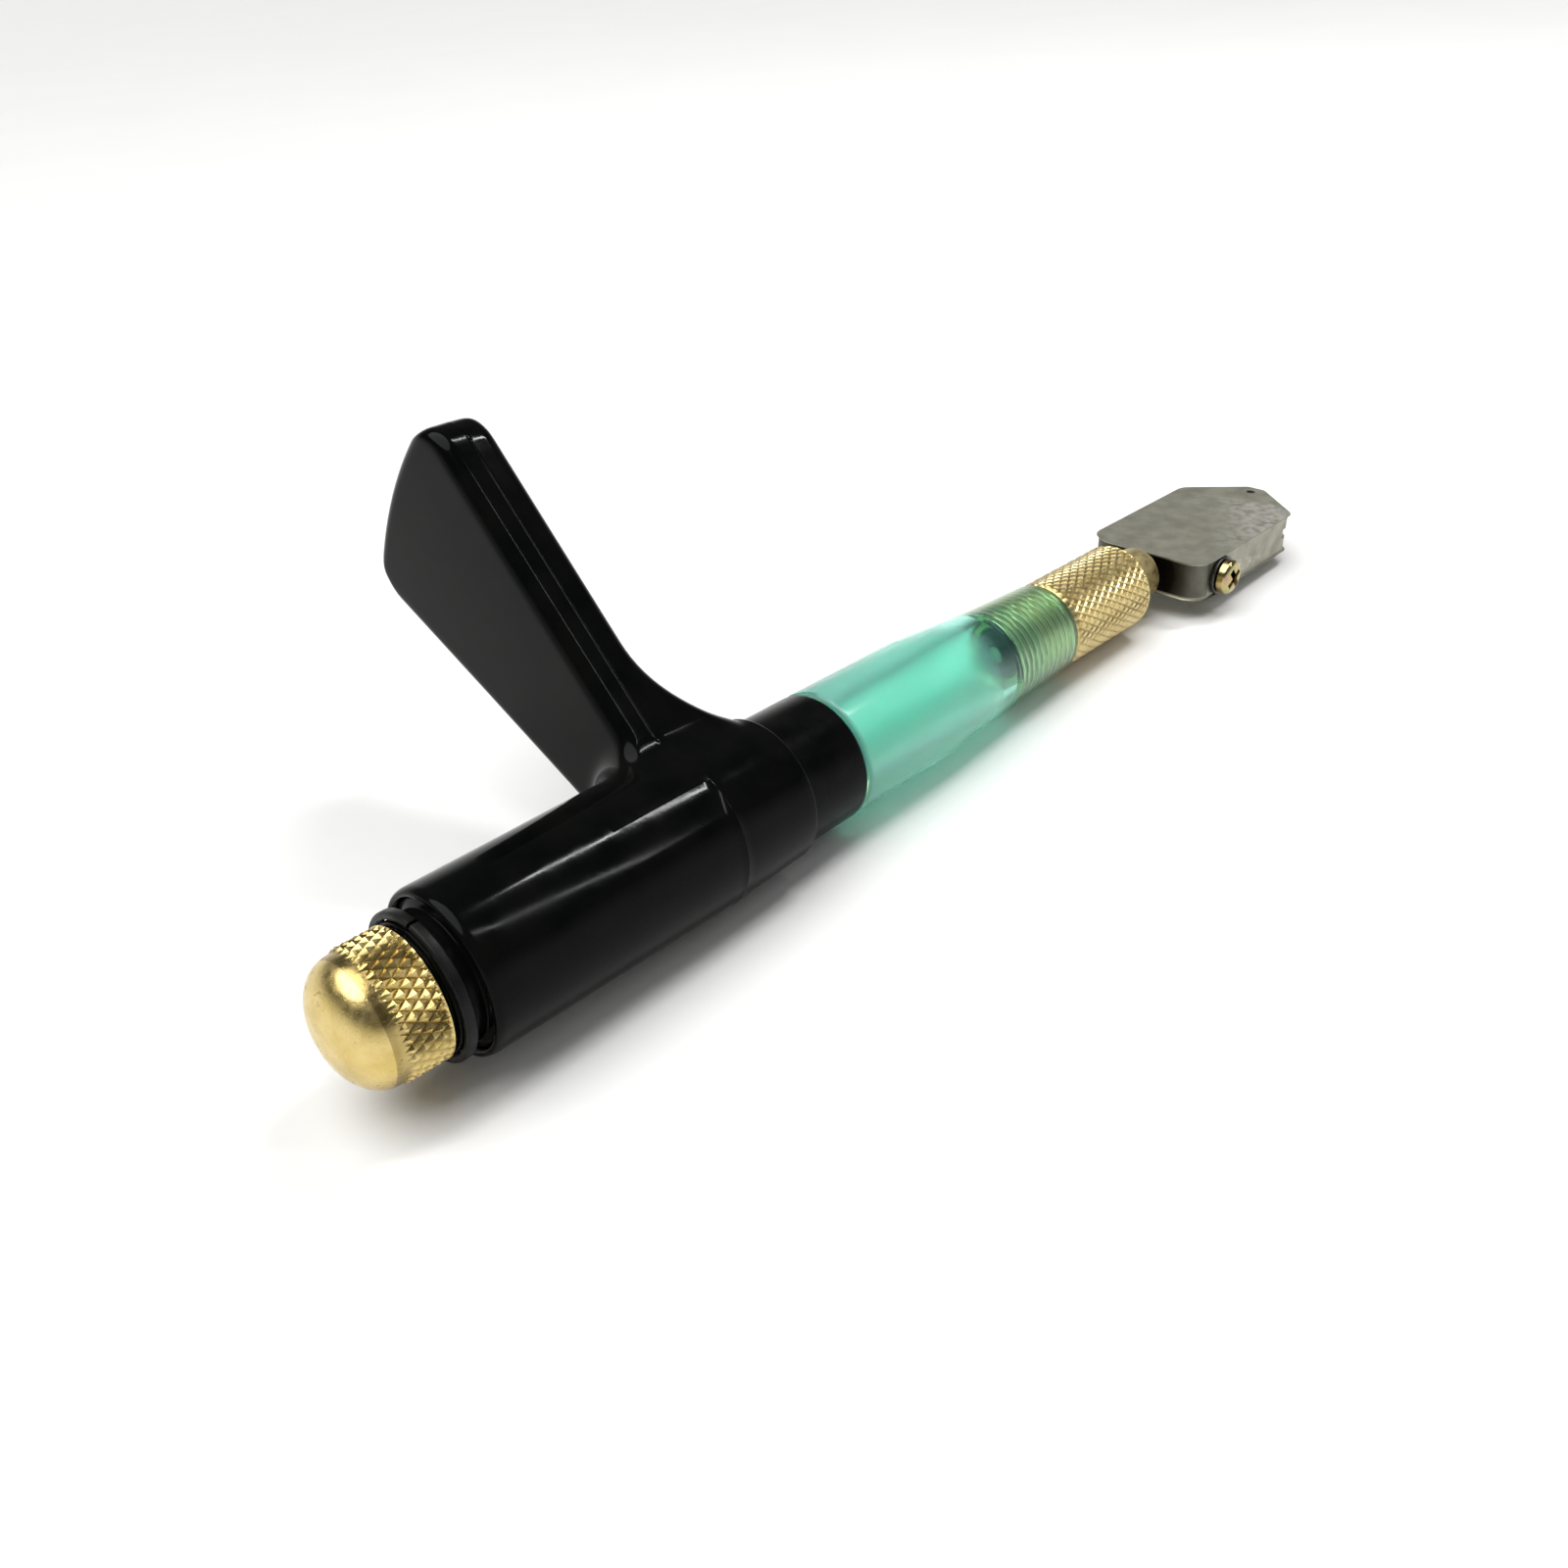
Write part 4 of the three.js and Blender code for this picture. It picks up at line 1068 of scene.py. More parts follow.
@dataclass
class HandleSleeve:
    """Black tube that turns on the reservoir, and the split ring on its neck."""

    workshop: Workshop
    wall: float = 1.4
    neck_depth: float = 0.85
    neck_length: float = 2.6
    front_round: float = 0.5
    ring_split: float = math.radians(3.0)
    ring_split_at: float = math.radians(96.0)
    ring_steps: int = 140
    ring_gap: float = 0.2

    def build(self) -> None:
        """Makes the tube and its ring."""
        self.tube()
        self.ring()

    def tube(self) -> bpy.types.Object:
        """The tube with its neck."""
        size = self.workshop.tool.span("handle_sleeve")
        bore = size.reach - self.wall
        neck = size.reach - self.neck_depth
        corners = [
            Corner(size.rear, bore, 0.15), Corner(size.rear, neck, 0.25),
            Corner(size.rear + self.neck_length, neck, 0.2),
            Corner(size.rear + self.neck_length + 0.3, size.reach, 0.2),
            Corner(size.front, size.reach, self.front_round), Corner(size.front, bore, 0.15)]
        piece = self.workshop.turned("handle_sleeve_tube", corners, 160)
        return self.workshop.finished(piece, "sleeve", "handle_sleeve", SATIN_BLACK)

    def ring(self) -> bpy.types.Object:
        """The split retaining ring."""
        size = self.workshop.tool.span("retaining_ring")
        inner = size.reach - self.neck_depth + self.ring_gap
        section = rounded([
            Corner(size.rear, inner, 0.1), Corner(size.rear, size.reach, 0.3),
            Corner(size.front, size.reach, 0.3), Corner(size.front, inner, 0.1)], True)
        steps = self.ring_steps
        points: list[Point] = []
        for k in range(steps + 1):
            angle = self.ring_split_at + self.ring_split / 2 + (TAU - self.ring_split) * k / steps
            points.extend((x, r * math.cos(angle), r * math.sin(angle)) for x, r in section)
        n = len(section)
        faces: list[Face] = [
            (k * n + i, k * n + (i + 1) % n, (k + 1) * n + (i + 1) % n, (k + 1) * n + i)
            for k in range(steps) for i in range(n)]
        faces.append(tuple(reversed(range(n))))
        faces.append(tuple(range(steps * n, (steps + 1) * n)))
        piece = self.workshop.blank("retaining_ring_split", points, faces)
        return self.workshop.finished(piece, "sleeve", "retaining_ring", RUBBER)


@dataclass
class Saddle:
    """Moulded saddle: a tapered sleeve and its paddle fin in one skin, with a fine parting line.

    The fin is a stack of rounded rings. Near the sleeve they flare out until they lie on it, and a
    patch of the sleeve's own grid is replaced by the rings' outermost one.
    """

    workshop: Workshop
    parting: float = 30.4
    rear_radius: float = 7.85
    parting_radius: float = 8.02
    front_radius: float = 7.65
    bore_gap: float = 0.2
    rear_lip: float = 0.9
    rear_lip_drop: float = 0.45
    rear_lip_steps: int = 8
    front_lip: float = 0.3
    front_lip_steps: int = 5
    rear_steps: int = 8
    witness: float = 0.018
    witness_width: float = 0.06
    lean: float = math.radians(35.3)
    axis_half_width: float = 4.45
    fin_offset: float = -0.95
    flare: float = math.radians(9.86)
    rear_face: float = 27.2
    front_face: float = 33.5
    draft: float = 0.03
    corner: float = 4.24
    edge: float = 1.5
    rear_fillet: float = 3.0
    upper_fillet: float = 1.9
    lower_fillet: float = 0.7
    sweep_length: float = 6.2
    sweep_height: float = 11.0
    sweep_power: float = 2.2
    patch_half: float = math.radians(80.0)
    patch_rear: float = 19.0
    across_steps: int = 44
    along_steps: int = 26
    arc_steps: int = 5
    rest_columns: int = 60
    straighten: float = 8.0
    blend_rings: int = 8
    blend_power: float = 0.8
    sweep_rings: int = 20
    sweep_spacing: float = 1.8
    straight_rings: int = 6
    corner_rings: int = 7
    edge_rings: int = 8
    tip_gap: float = 0.002
    points: list[Point] = field(default_factory=list)
    faces: list[Face] = field(default_factory=list)

    def build(self) -> None:
        """Makes the saddle."""
        self.size = self.workshop.tool.span("saddle_grip")
        self.bore = self.workshop.tool.span("handle_sleeve").reach + self.bore_gap
        boundary = self.sleeve()
        self.fin(boundary)
        piece = self.workshop.blank("saddle_moulding", self.points, self.faces)
        self.workshop.finished(piece, "saddle", "saddle_grip", GLOSS_BLACK, crease=50.0)

    def sleeve_radius(self, station: float) -> float:
        """Outer radius of the sleeve, widest at the parting line."""
        if station < self.parting:
            share = (station - self.size.rear) / (self.parting - self.size.rear)
            return self.rear_radius + (self.parting_radius - self.rear_radius) * share
        share = (station - self.parting) / (self.size.front - self.parting)
        return self.parting_radius + (self.front_radius - self.parting_radius) * share

    def patch_stations(self) -> list[float]:
        """Stations of the patch's sides, three of them on the parting line's ridge."""
        front = self.size.front - self.front_lip
        before = self.along_steps // 2
        after = self.along_steps - before - 2
        low, high = self.parting - self.witness_width, self.parting + self.witness_width
        made = [self.patch_rear + (low - self.patch_rear) * k / before for k in range(before)]
        made += [low, self.parting]
        return made + [high + (front - high) * k / after for k in range(after + 1)][: after + 1]

    def sleeve(self) -> list[int]:
        """Adds the sleeve with a hole for the fin.

        Returns:
            Corner numbers round the hole, in the order of a ring of the fin.
        """
        stations = self.patch_stations()
        self.along_steps = len(stations) - 1
        rows: list[tuple[float, float]] = []
        rear, front = self.size.rear, self.size.front
        start = rear + self.rear_lip
        top = self.sleeve_radius(start)
        for k in range(self.rear_lip_steps, -1, -1):
            angle = math.pi / 2 * k / self.rear_lip_steps
            rows.append((rear + self.rear_lip * (1 - math.sin(angle)),
                         top - self.rear_lip_drop * self.rear_lip * (1 - math.cos(angle))))
        for k in range(1, self.rear_steps):
            station = start + (self.patch_rear - start) * k / self.rear_steps
            rows.append((station, self.sleeve_radius(station)))
        first = len(rows)
        for station in stations:
            ridge = self.witness if station == self.parting else 0.0
            rows.append((station, self.sleeve_radius(station) + ridge))
        last = len(rows) - 1
        top = self.sleeve_radius(stations[-1])
        for k in range(1, self.front_lip_steps + 1):
            angle = math.pi / 2 * k / self.front_lip_steps
            rows.append((stations[-1] + self.front_lip * math.sin(angle),
                         top - self.front_lip * (1 - math.cos(angle))))
        rows += [(front, self.bore + 0.1), (front - 0.1, self.bore), (rear + 0.1, self.bore),
                 (rear, self.bore + 0.1)]
        angles = [self.lean - self.patch_half + 2 * self.patch_half * k / self.across_steps
                  for k in range(self.across_steps + 1)]
        rest = TAU - 2 * self.patch_half
        angles += [self.lean + self.patch_half + rest * k / self.rest_columns
                   for k in range(1, self.rest_columns)]
        columns = len(angles)
        for station, radius in rows:
            self.points.extend((station, radius * math.cos(a), radius * math.sin(a)) for a in angles)
        for row in range(len(rows)):
            below, above = row * columns, (row + 1) % len(rows) * columns
            for c in range(columns):
                if first <= row < last and c < self.across_steps:
                    continue
                d = (c + 1) % columns
                self.faces.append((below + c, below + d, above + d, above + c))
        wide = self.across_steps
        return ([first * columns + c for c in range(wide)]
                + [row * columns + wide for row in range(first, last)]
                + [last * columns + c for c in range(wide, 0, -1)]
                + [row * columns for row in range(last, first, -1)])

    def half_width(self, reach: float) -> float:
        """Half the fin's width at a distance from the axis, rounded at its outer corners."""
        straight = self.axis_half_width + reach * math.tan(self.flare)
        past = reach - (self.size.reach - self.corner)
        if past <= 0.0:
            return straight
        return straight - self.corner + math.sqrt(max(0.0, self.corner**2 - past**2))

    def ring(self, rear: float, front: float, half: float, round_by: float) -> list[tuple[float, float]]:
        """A rounded rectangle as (station, distance across), from the rear lower corner round.

        Args:
            rear: station of the rear face.
            front: station of the front face.
            half: half width at the parting line.
            round_by: radius of the four corners.

        Returns:
            As many points as the hole in the sleeve has.
        """
        radius = min(round_by, 0.48 * (front - rear), 0.9 * half)
        arc, turn = self.arc_steps, math.pi / 4

        def side(station: float) -> float:
            """Half width at a station, less the draft."""
            return half - self.draft * abs(station - self.parting)

        def corner_points(station: float, sign: float, start: float) -> list[tuple[float, float]]:
            """Half an arc round a corner's centre."""
            centre = sign * (side(station) - radius)
            return [(station + radius * math.cos(start - turn * k / arc),
                     centre + radius * math.sin(start - turn * k / arc)) for k in range(arc)]

        low, high = rear + radius, front - radius
        before = (self.along_steps - 2 * arc) // 2
        after = self.along_steps - 2 * arc - before
        width = self.witness_width
        stations = [low + (self.parting - width - low) * k / (before - 1) for k in range(before)]
        stations.append(self.parting)
        stations += [self.parting + width + (high - self.parting - width) * k / (after - 1)
                     for k in range(after)]
        flat = self.across_steps - 2 * arc
        edge_low, edge_high = side(low) - radius, side(high) - radius
        made = corner_points(low, -1.0, -3 * turn)
        made += [(rear, -edge_low + 2 * edge_low * k / flat) for k in range(flat)]
        made += corner_points(low, 1.0, 4 * turn)
        made += corner_points(low, 1.0, 3 * turn)
        made += [(x, side(x) + (self.witness if x == self.parting else 0.0)) for x in stations[:-1]]
        made += corner_points(high, 1.0, 2 * turn)
        made += corner_points(high, 1.0, turn)
        made += [(front, edge_high - 2 * edge_high * k / flat) for k in range(flat)]
        made += corner_points(high, -1.0, 0.0)
        made += corner_points(high, -1.0, -turn)
        made += [(x, -side(x) - (self.witness if x == self.parting else 0.0))
                 for x in reversed(stations[1:])]
        made += corner_points(low, -1.0, -2 * turn)
        return made

    def place(self, station: float, across: float, height: float) -> Point:
        """A point of the fin at a height above the sleeve, bent round the axis."""
        local = self.sleeve_radius(min(station, self.size.front - self.front_lip))
        lift = min(1.0, height / self.straighten)
        lift = lift * lift * (3.0 - 2.0 * lift)
        reach = height + local + (self.parting_radius - local) * lift
        angle = self.lean + math.asin(max(-0.999, min(0.999, (across + self.fin_offset) / reach)))
        return (station, reach * math.cos(angle), reach * math.sin(angle))

    def spread_at(self, height: float, fillet: float) -> float:
        """How far a round fillet has spread at a height above the sleeve."""
        if height >= fillet:
            return 0.0
        left = 1.0 - height / fillet
        return fillet * (1.0 - math.sqrt(max(0.0, 1.0 - left * left)))

    def fin_ring(self, height: float, shrink: float) -> list[Point]:
        """One ring of the fin at a height above the sleeve."""
        reach = self.parting_radius + height
        back = self.spread_at(height, self.rear_fillet)
        left = max(0.0, 1.0 - height / self.sweep_height)
        ahead = self.sweep_length * left**self.sweep_power
        above = self.spread_at(height, self.upper_fillet)
        below = self.spread_at(height, self.lower_fillet)
        rear = self.rear_face - back + shrink
        front = self.front_face + ahead - shrink
        half = self.half_width(reach) + (above + below) / 2 - shrink
        shift = (above - below) / 2
        outline = self.ring(rear, front, half, self.edge + (above + below) / 2)
        return [self.place(x, c + shift, height) for x, c in outline]

    def fin(self, boundary: list[int]) -> None:
        """Adds the fin from the hole in the sleeve to its tip.

        Args:
            boundary: corner numbers round the hole.
        """
        root = self.fin_ring(0.0, 0.0)
        rings: list[list[Point]] = []
        for k in range(1, self.blend_rings):
            share = (k / self.blend_rings) ** self.blend_power
            ring = []
            for number, inner in zip(boundary, root):
                outer = self.points[number]
                station = outer[0] + (inner[0] - outer[0]) * share
                turn_out = math.atan2(outer[2], outer[1])
                turn_in = math.atan2(inner[2], inner[1])
                turn_in += TAU * round((turn_out - turn_in) / TAU)
                angle = turn_out + (turn_in - turn_out) * share
                ridge = self.witness if abs(station - self.parting) < 1e-6 else 0.0
                radius = self.sleeve_radius(station) + ridge
                ring.append((station, radius * math.cos(angle), radius * math.sin(angle)))
            rings.append(ring)
        rings.append(root)
        full = self.size.reach - self.parting_radius
        rings += [self.fin_ring(height, 0.0) for height in self.heights(full)]
        for k in range(1, self.edge_rings + 1):
            angle = math.pi / 2 * k / self.edge_rings
            height = full - self.edge * (1.0 - math.sin(angle)) - self.tip_gap
            rings.append(self.fin_ring(height, self.edge * (1.0 - math.cos(angle))))
        below = boundary
        for ring in rings:
            start = len(self.points)
            self.points.extend(ring)
            above = list(range(start, start + len(ring)))
            self.stitch(below, above)
            below = above
        self.tip(below)

    def heights(self, full: float) -> list[float]:
        """Heights of the fin's rings above the sleeve, up to where its outer edge starts to round."""
        tall, count = self.sweep_height, self.sweep_rings
        made = [tall * (k / count) ** self.sweep_spacing for k in range(1, count + 1)]
        straight = full - self.corner
        count = self.straight_rings
        made += [tall + (straight - tall) * k / count for k in range(1, count + 1)]
        top = full - self.edge
        count = self.corner_rings
        return made + [straight + (top - straight) * k / count for k in range(1, count + 1)]

    def stitch(self, below: Sequence[int], above: Sequence[int]) -> None:
        """Joins two rings by quads."""
        count = len(below)
        for k in range(count):
            n = (k + 1) % count
            self.faces.append((below[k], above[k], above[n], below[n]))

    def tip(self, rim: Sequence[int]) -> None:
        """Fills the fin's outer end with a grid that follows its rim."""
        wide, long = self.across_steps, self.along_steps
        rear = [rim[k] for k in range(wide + 1)]
        upper = [rim[wide + k] for k in range(long + 1)]
        front = [rim[(2 * wide + long - k) % len(rim)] for k in range(wide + 1)]
        lower = [rim[(-k) % len(rim)] for k in range(long + 1)]
        grid = [[0] * (wide + 1) for _ in range(long + 1)]
        grid[0], grid[long] = rear, front
        for j in range(1, long):
            grid[j][0], grid[j][wide] = lower[j], upper[j]
            for i in range(1, wide):
                u, v = i / wide, j / long
                point = []
                for axis in range(3):
                    sides = ((1 - u) * self.points[lower[j]][axis] + u * self.points[upper[j]][axis])
                    ends = ((1 - v) * self.points[rear[i]][axis] + v * self.points[front[i]][axis])
                    corners = ((1 - u) * (1 - v) * self.points[rear[0]][axis]
                               + u * (1 - v) * self.points[rear[wide]][axis]
                               + (1 - u) * v * self.points[front[0]][axis]
                               + u * v * self.points[front[wide]][axis])
                    point.append(sides + ends - corners)
                rims = [math.hypot(*self.points[n][1:]) for n in (lower[j], upper[j], rear[i], front[i])]
                scale = max(rims) / math.hypot(point[1], point[2])
                self.points.append((point[0], point[1] * scale, point[2] * scale))
                grid[j][i] = len(self.points) - 1
        for j in range(long):
            for i in range(wide):
                self.faces.append((grid[j][i], grid[j + 1][i], grid[j + 1][i + 1], grid[j][i + 1]))


@dataclass
class Reservoir:
    """Translucent oil reservoir, threaded at both ends."""

    workshop: Workshop
    bore: float = 3.9
    taper_start: float = 15.5
    taper_end: float = 29.5
    neck_radius: float = 5.95
    front_radius: float = 5.6
    pitch: float = 1.0
    thread_depth: float = 0.35
    rear_thread: float = 7.0
    spigot_step: float = 1.6
    shoulder_gap: float = 0.3
    front_bore: float = 4.2
    run_out: float = 1.0
    rows_per_turn: int = 12

    def build(self) -> None:
        """Makes the reservoir."""
        tool = self.workshop.tool
        size = tool.span("reservoir_barrel")
        sleeve = tool.span("handle_sleeve")
        shank = tool.span("ferrule")
        spigot = sleeve.reach - self.spigot_step
        shoulder = sleeve.front + self.shoulder_gap
        minor = self.front_bore
        thread_rear = shank.rear - self.run_out
        corners = [
            Corner(size.rear, self.bore), Corner(size.rear, spigot, 0.15),
            Corner(shoulder, spigot), Corner(shoulder, size.reach, 0.45),
            Corner(shoulder + self.taper_start, size.reach, 12.0),
            Corner(shoulder + self.taper_end, self.neck_radius, 8.0),
            Corner(size.front, self.front_radius, 0.6), Corner(size.front, minor)]
        rows = self.rows_per_turn * round(size.front - thread_rear)
        corners += stretch((size.front, minor), (thread_rear, minor), rows)
        corners.append(Corner(thread_rear - 0.4, self.bore))
        rear_end = size.rear + self.rear_thread
        corners.append(Corner(rear_end, self.bore))
        rows = self.rows_per_turn * round(self.rear_thread)
        corners += stretch((rear_end, self.bore), (size.rear, self.bore), rows)[:-1]
        piece = self.workshop.turned("reservoir_mint", corners, 128, steps=10)
        for rear, front, radius in ((thread_rear, size.front, minor), (size.rear, rear_end, self.bore)):
            ReliefNodes.press(self.workshop, piece, Relief(
                Pattern.SCREW_THREAD, rear, front, radius, self.pitch, -self.thread_depth, flat=0.2,
                fade=0.5), MINT_PLASTIC)
        self.workshop.finished(piece, "barrel", "reservoir_barrel", MINT_PLASTIC, crease=30.0)


@dataclass
class Ferrule:
    """Knurled brass ferrule with a threaded shank and a collar, and the oil valve inside it."""

    workshop: Workshop
    knurl_length: float = 16.0
    knurl_count: int = 33
    knurl_pitch: float = 1.80
    knurl_depth: float = 0.16
    knurl_flat: float = 0.45
    cell_rows: int = 4
    chamfer: float = 0.35
    shank_radius: float = 4.0
    pitch: float = 1.0
    thread_depth: float = 0.4
    chamber: float = 3.05
    chamber_depth: float = 10.6
    collar_radius: float = 3.5
    post_bore: float = 2.15
    recess: float = 4.9
    recess_depth: float = 0.8
    gasket_gap: float = 0.2
    seal_wire: float = 0.4
    spring_wire: float = 0.3
    spring_turns: float = 7.0
    post_radius: float = 1.85
    post_flange: float = 0.8
    groove_radius: float = 1.3
    groove_half: float = 0.8
    oil_way: float = 0.5
    rows_per_turn: int = 12

    def build(self) -> None:
        """Makes the ferrule and what it holds."""
        self.size = self.workshop.tool.span("ferrule")
        self.face = self.workshop.tool.span("reservoir_barrel").front + 0.3
        self.shell()
        self.gasket()
        self.plug()
        self.wick()
        self.spring()
        self.post()
        self.seal()

    def shell(self) -> bpy.types.Object:
        """The ferrule itself."""
        size, face = self.size, self.face
        step = self.knurl_pitch / 2 / self.cell_rows
        rows = math.floor((self.knurl_length - 2 * self.chamfer) / step)
        band_rear = face + (self.knurl_length - rows * step) / 2
        band_front = band_rear + rows * step
        knurl_end = face + self.knurl_length
        edge = size.reach - self.chamfer
        shank = self.shank_radius
        thread_rear = size.rear + self.chamfer
        thread_front = face - 0.2
        corners = [Corner(size.rear, self.chamber), Corner(size.rear, shank - self.chamfer),
                   Corner(thread_rear, shank)]
        threads = self.rows_per_turn * round(thread_front - thread_rear)
        corners += stretch((thread_rear, shank), (thread_front, shank), threads)
        corners += [Corner(face + self.recess_depth, shank),
                    Corner(face + self.recess_depth, self.recess), Corner(face, self.recess),
                    Corner(face, edge - 0.1)]
        first = len(corners)
        corners += [Corner(band_rear + step * k, size.reach) for k in range(rows + 1)]
        corners += [Corner(knurl_end, edge - 0.1), Corner(knurl_end, self.collar_radius + 0.25, 0.0),
                    Corner(knurl_end + 0.25, self.collar_radius, 0.2),
                    Corner(size.front, self.collar_radius, 0.45), Corner(size.front, self.post_bore, 0.15),
                    Corner(face + self.chamber_depth, self.post_bore),
                    Corner(face + self.chamber_depth, self.chamber)]
        columns = self.knurl_count * 2 * self.cell_rows
        piece = self.workshop.turned("ferrule_brass", corners, columns,
                                     slant=knurl_slant(first, first + rows, self.cell_rows))
        ReliefNodes.press(self.workshop, piece, Relief(
            Pattern.DIAMOND_KNURL, band_rear, band_front, size.reach, self.knurl_pitch, self.knurl_depth,
            count=self.knurl_count, flat=self.knurl_flat), FERRULE_BRASS)
        ReliefNodes.press(self.workshop, piece, Relief(
            Pattern.SCREW_THREAD, size.rear + 0.2, thread_front, shank, self.pitch,
            self.thread_depth, flat=0.2, fade=0.6), FERRULE_BRASS)
        return self.workshop.finished(piece, "barrel", "ferrule", FERRULE_BRASS, crease=24.0)

    def gasket(self) -> bpy.types.Object:
        """Flat ring in the ferrule's recess."""
        size = self.workshop.tool.span("ferrule_gasket")
        inner = self.shank_radius + self.gasket_gap
        piece = self.workshop.turned("ferrule_gasket_ring", [
            Corner(size.rear, inner, 0.1), Corner(size.rear, size.reach, 0.1),
            Corner(size.front, size.reach, 0.1), Corner(size.front, inner, 0.1)], 96)
        return self.workshop.finished(piece, "barrel", "ferrule_gasket", RUBBER)

    def plug(self) -> bpy.types.Object:
        """Black plug at the rear of the ferrule, with two grooves where it is pushed in."""
        size = self.workshop.tool.span("spring_plug")
        wick = self.workshop.tool.span("oil_wick")
        inner = wick.reach + 0.2
        grooves: list[Corner] = []
        for at in (1.4, 2.2):
            grooves += [Corner(size.rear + at, size.reach), Corner(size.rear + at + 0.1, size.reach - 0.15),
                        Corner(size.rear + at + 0.3, size.reach - 0.15),
                        Corner(size.rear + at + 0.4, size.reach)]
        piece = self.workshop.turned("spring_plug_black", [
            Corner(size.rear, inner, 0.15), Corner(size.rear, size.reach, 0.4), *grooves,
            Corner(size.front, size.reach, 0.1), Corner(size.front, inner, 0.1)], 96)
        return self.workshop.finished(piece, "barrel", "spring_plug", RUBBER)

    def wick(self) -> bpy.types.Object:
        """Felt wick through the plug."""
        size = self.workshop.tool.span("oil_wick")
        piece = self.workshop.turned("oil_wick_felt", [
            Corner(size.rear, 0.0), Corner(size.rear, size.reach, 0.2),
            Corner(size.front, size.reach, 0.2), Corner(size.front, 0.0)], 48, closed=False)
        return self.workshop.finished(piece, "barrel", "oil_wick", FELT)

    def spring(self) -> bpy.types.Object:
        """Wire spring behind the post."""
        size = self.workshop.tool.span("return_spring")
        wire = self.spring_wire
        piece = self.workshop.blank("return_spring_coil", [(0.0, 0.0, 0.0)], [])
        step = piece.modifiers.new("coil_spring", "NODES")
        step.node_group = SpringNodes.tree()
        set_input(step, "Finish", SPRING_STEEL.material(self.workshop.tool))
        for name, value in (("Rear", size.rear + wire), ("Length", size.length - 2 * wire),
                            ("Coil radius", size.reach - wire), ("Wire radius", wire),
                            ("Turns", self.spring_turns)):
            set_input(step, name, value)
        self.workshop.plain(piece)
        return self.workshop.finished(piece, "barrel", "return_spring", SPRING_STEEL, crease=60.0)

    def post(self) -> bpy.types.Object:
        """Steel post that the head swivels on."""
        size = self.workshop.tool.span("swivel_post")
        screw = self.workshop.tool.centre("head_screw").x
        post, groove = self.post_radius, self.groove_radius
        flange = size.rear + self.post_flange
        groove_rear, groove_front = screw - self.groove_half, screw + self.groove_half
        corners = [
            Corner(size.rear, 0.0), Corner(size.rear, size.reach, 0.12),
            Corner(flange, size.reach, 0.12), Corner(flange, post, 0.1),
            Corner(groove_rear, post, 0.08), Corner(groove_rear, groove, 0.1),
            Corner(groove_front, groove, 0.1), Corner(groove_front, post, 0.08),
            Corner(size.front, post, 0.35), Corner(size.front, self.oil_way, 0.08),
            Corner(flange + 1.0, self.oil_way), Corner(flange + 1.0, 0.0)]
        piece = self.workshop.turned("swivel_post_steel", corners, 96, closed=False)
        return self.workshop.finished(piece, "post", "swivel_post", DARK_STEEL)

    def seal(self) -> bpy.types.Object:
        """Rubber ring that closes the oil way."""
        size = self.workshop.tool.span("post_seal")
        wire = self.seal_wire
        ring = size.reach - wire
        middle = (size.rear + size.front) / 2
        sides = 20
        section = [(middle + wire * math.cos(TAU * k / sides), ring + wire * math.sin(TAU * k / sides))
                   for k in range(sides)]
        points, faces = lathe(section, 72, True)
        piece = self.workshop.blank("post_seal_ring", points, faces)
        return self.workshop.finished(piece, "post", "post_seal", RUBBER)


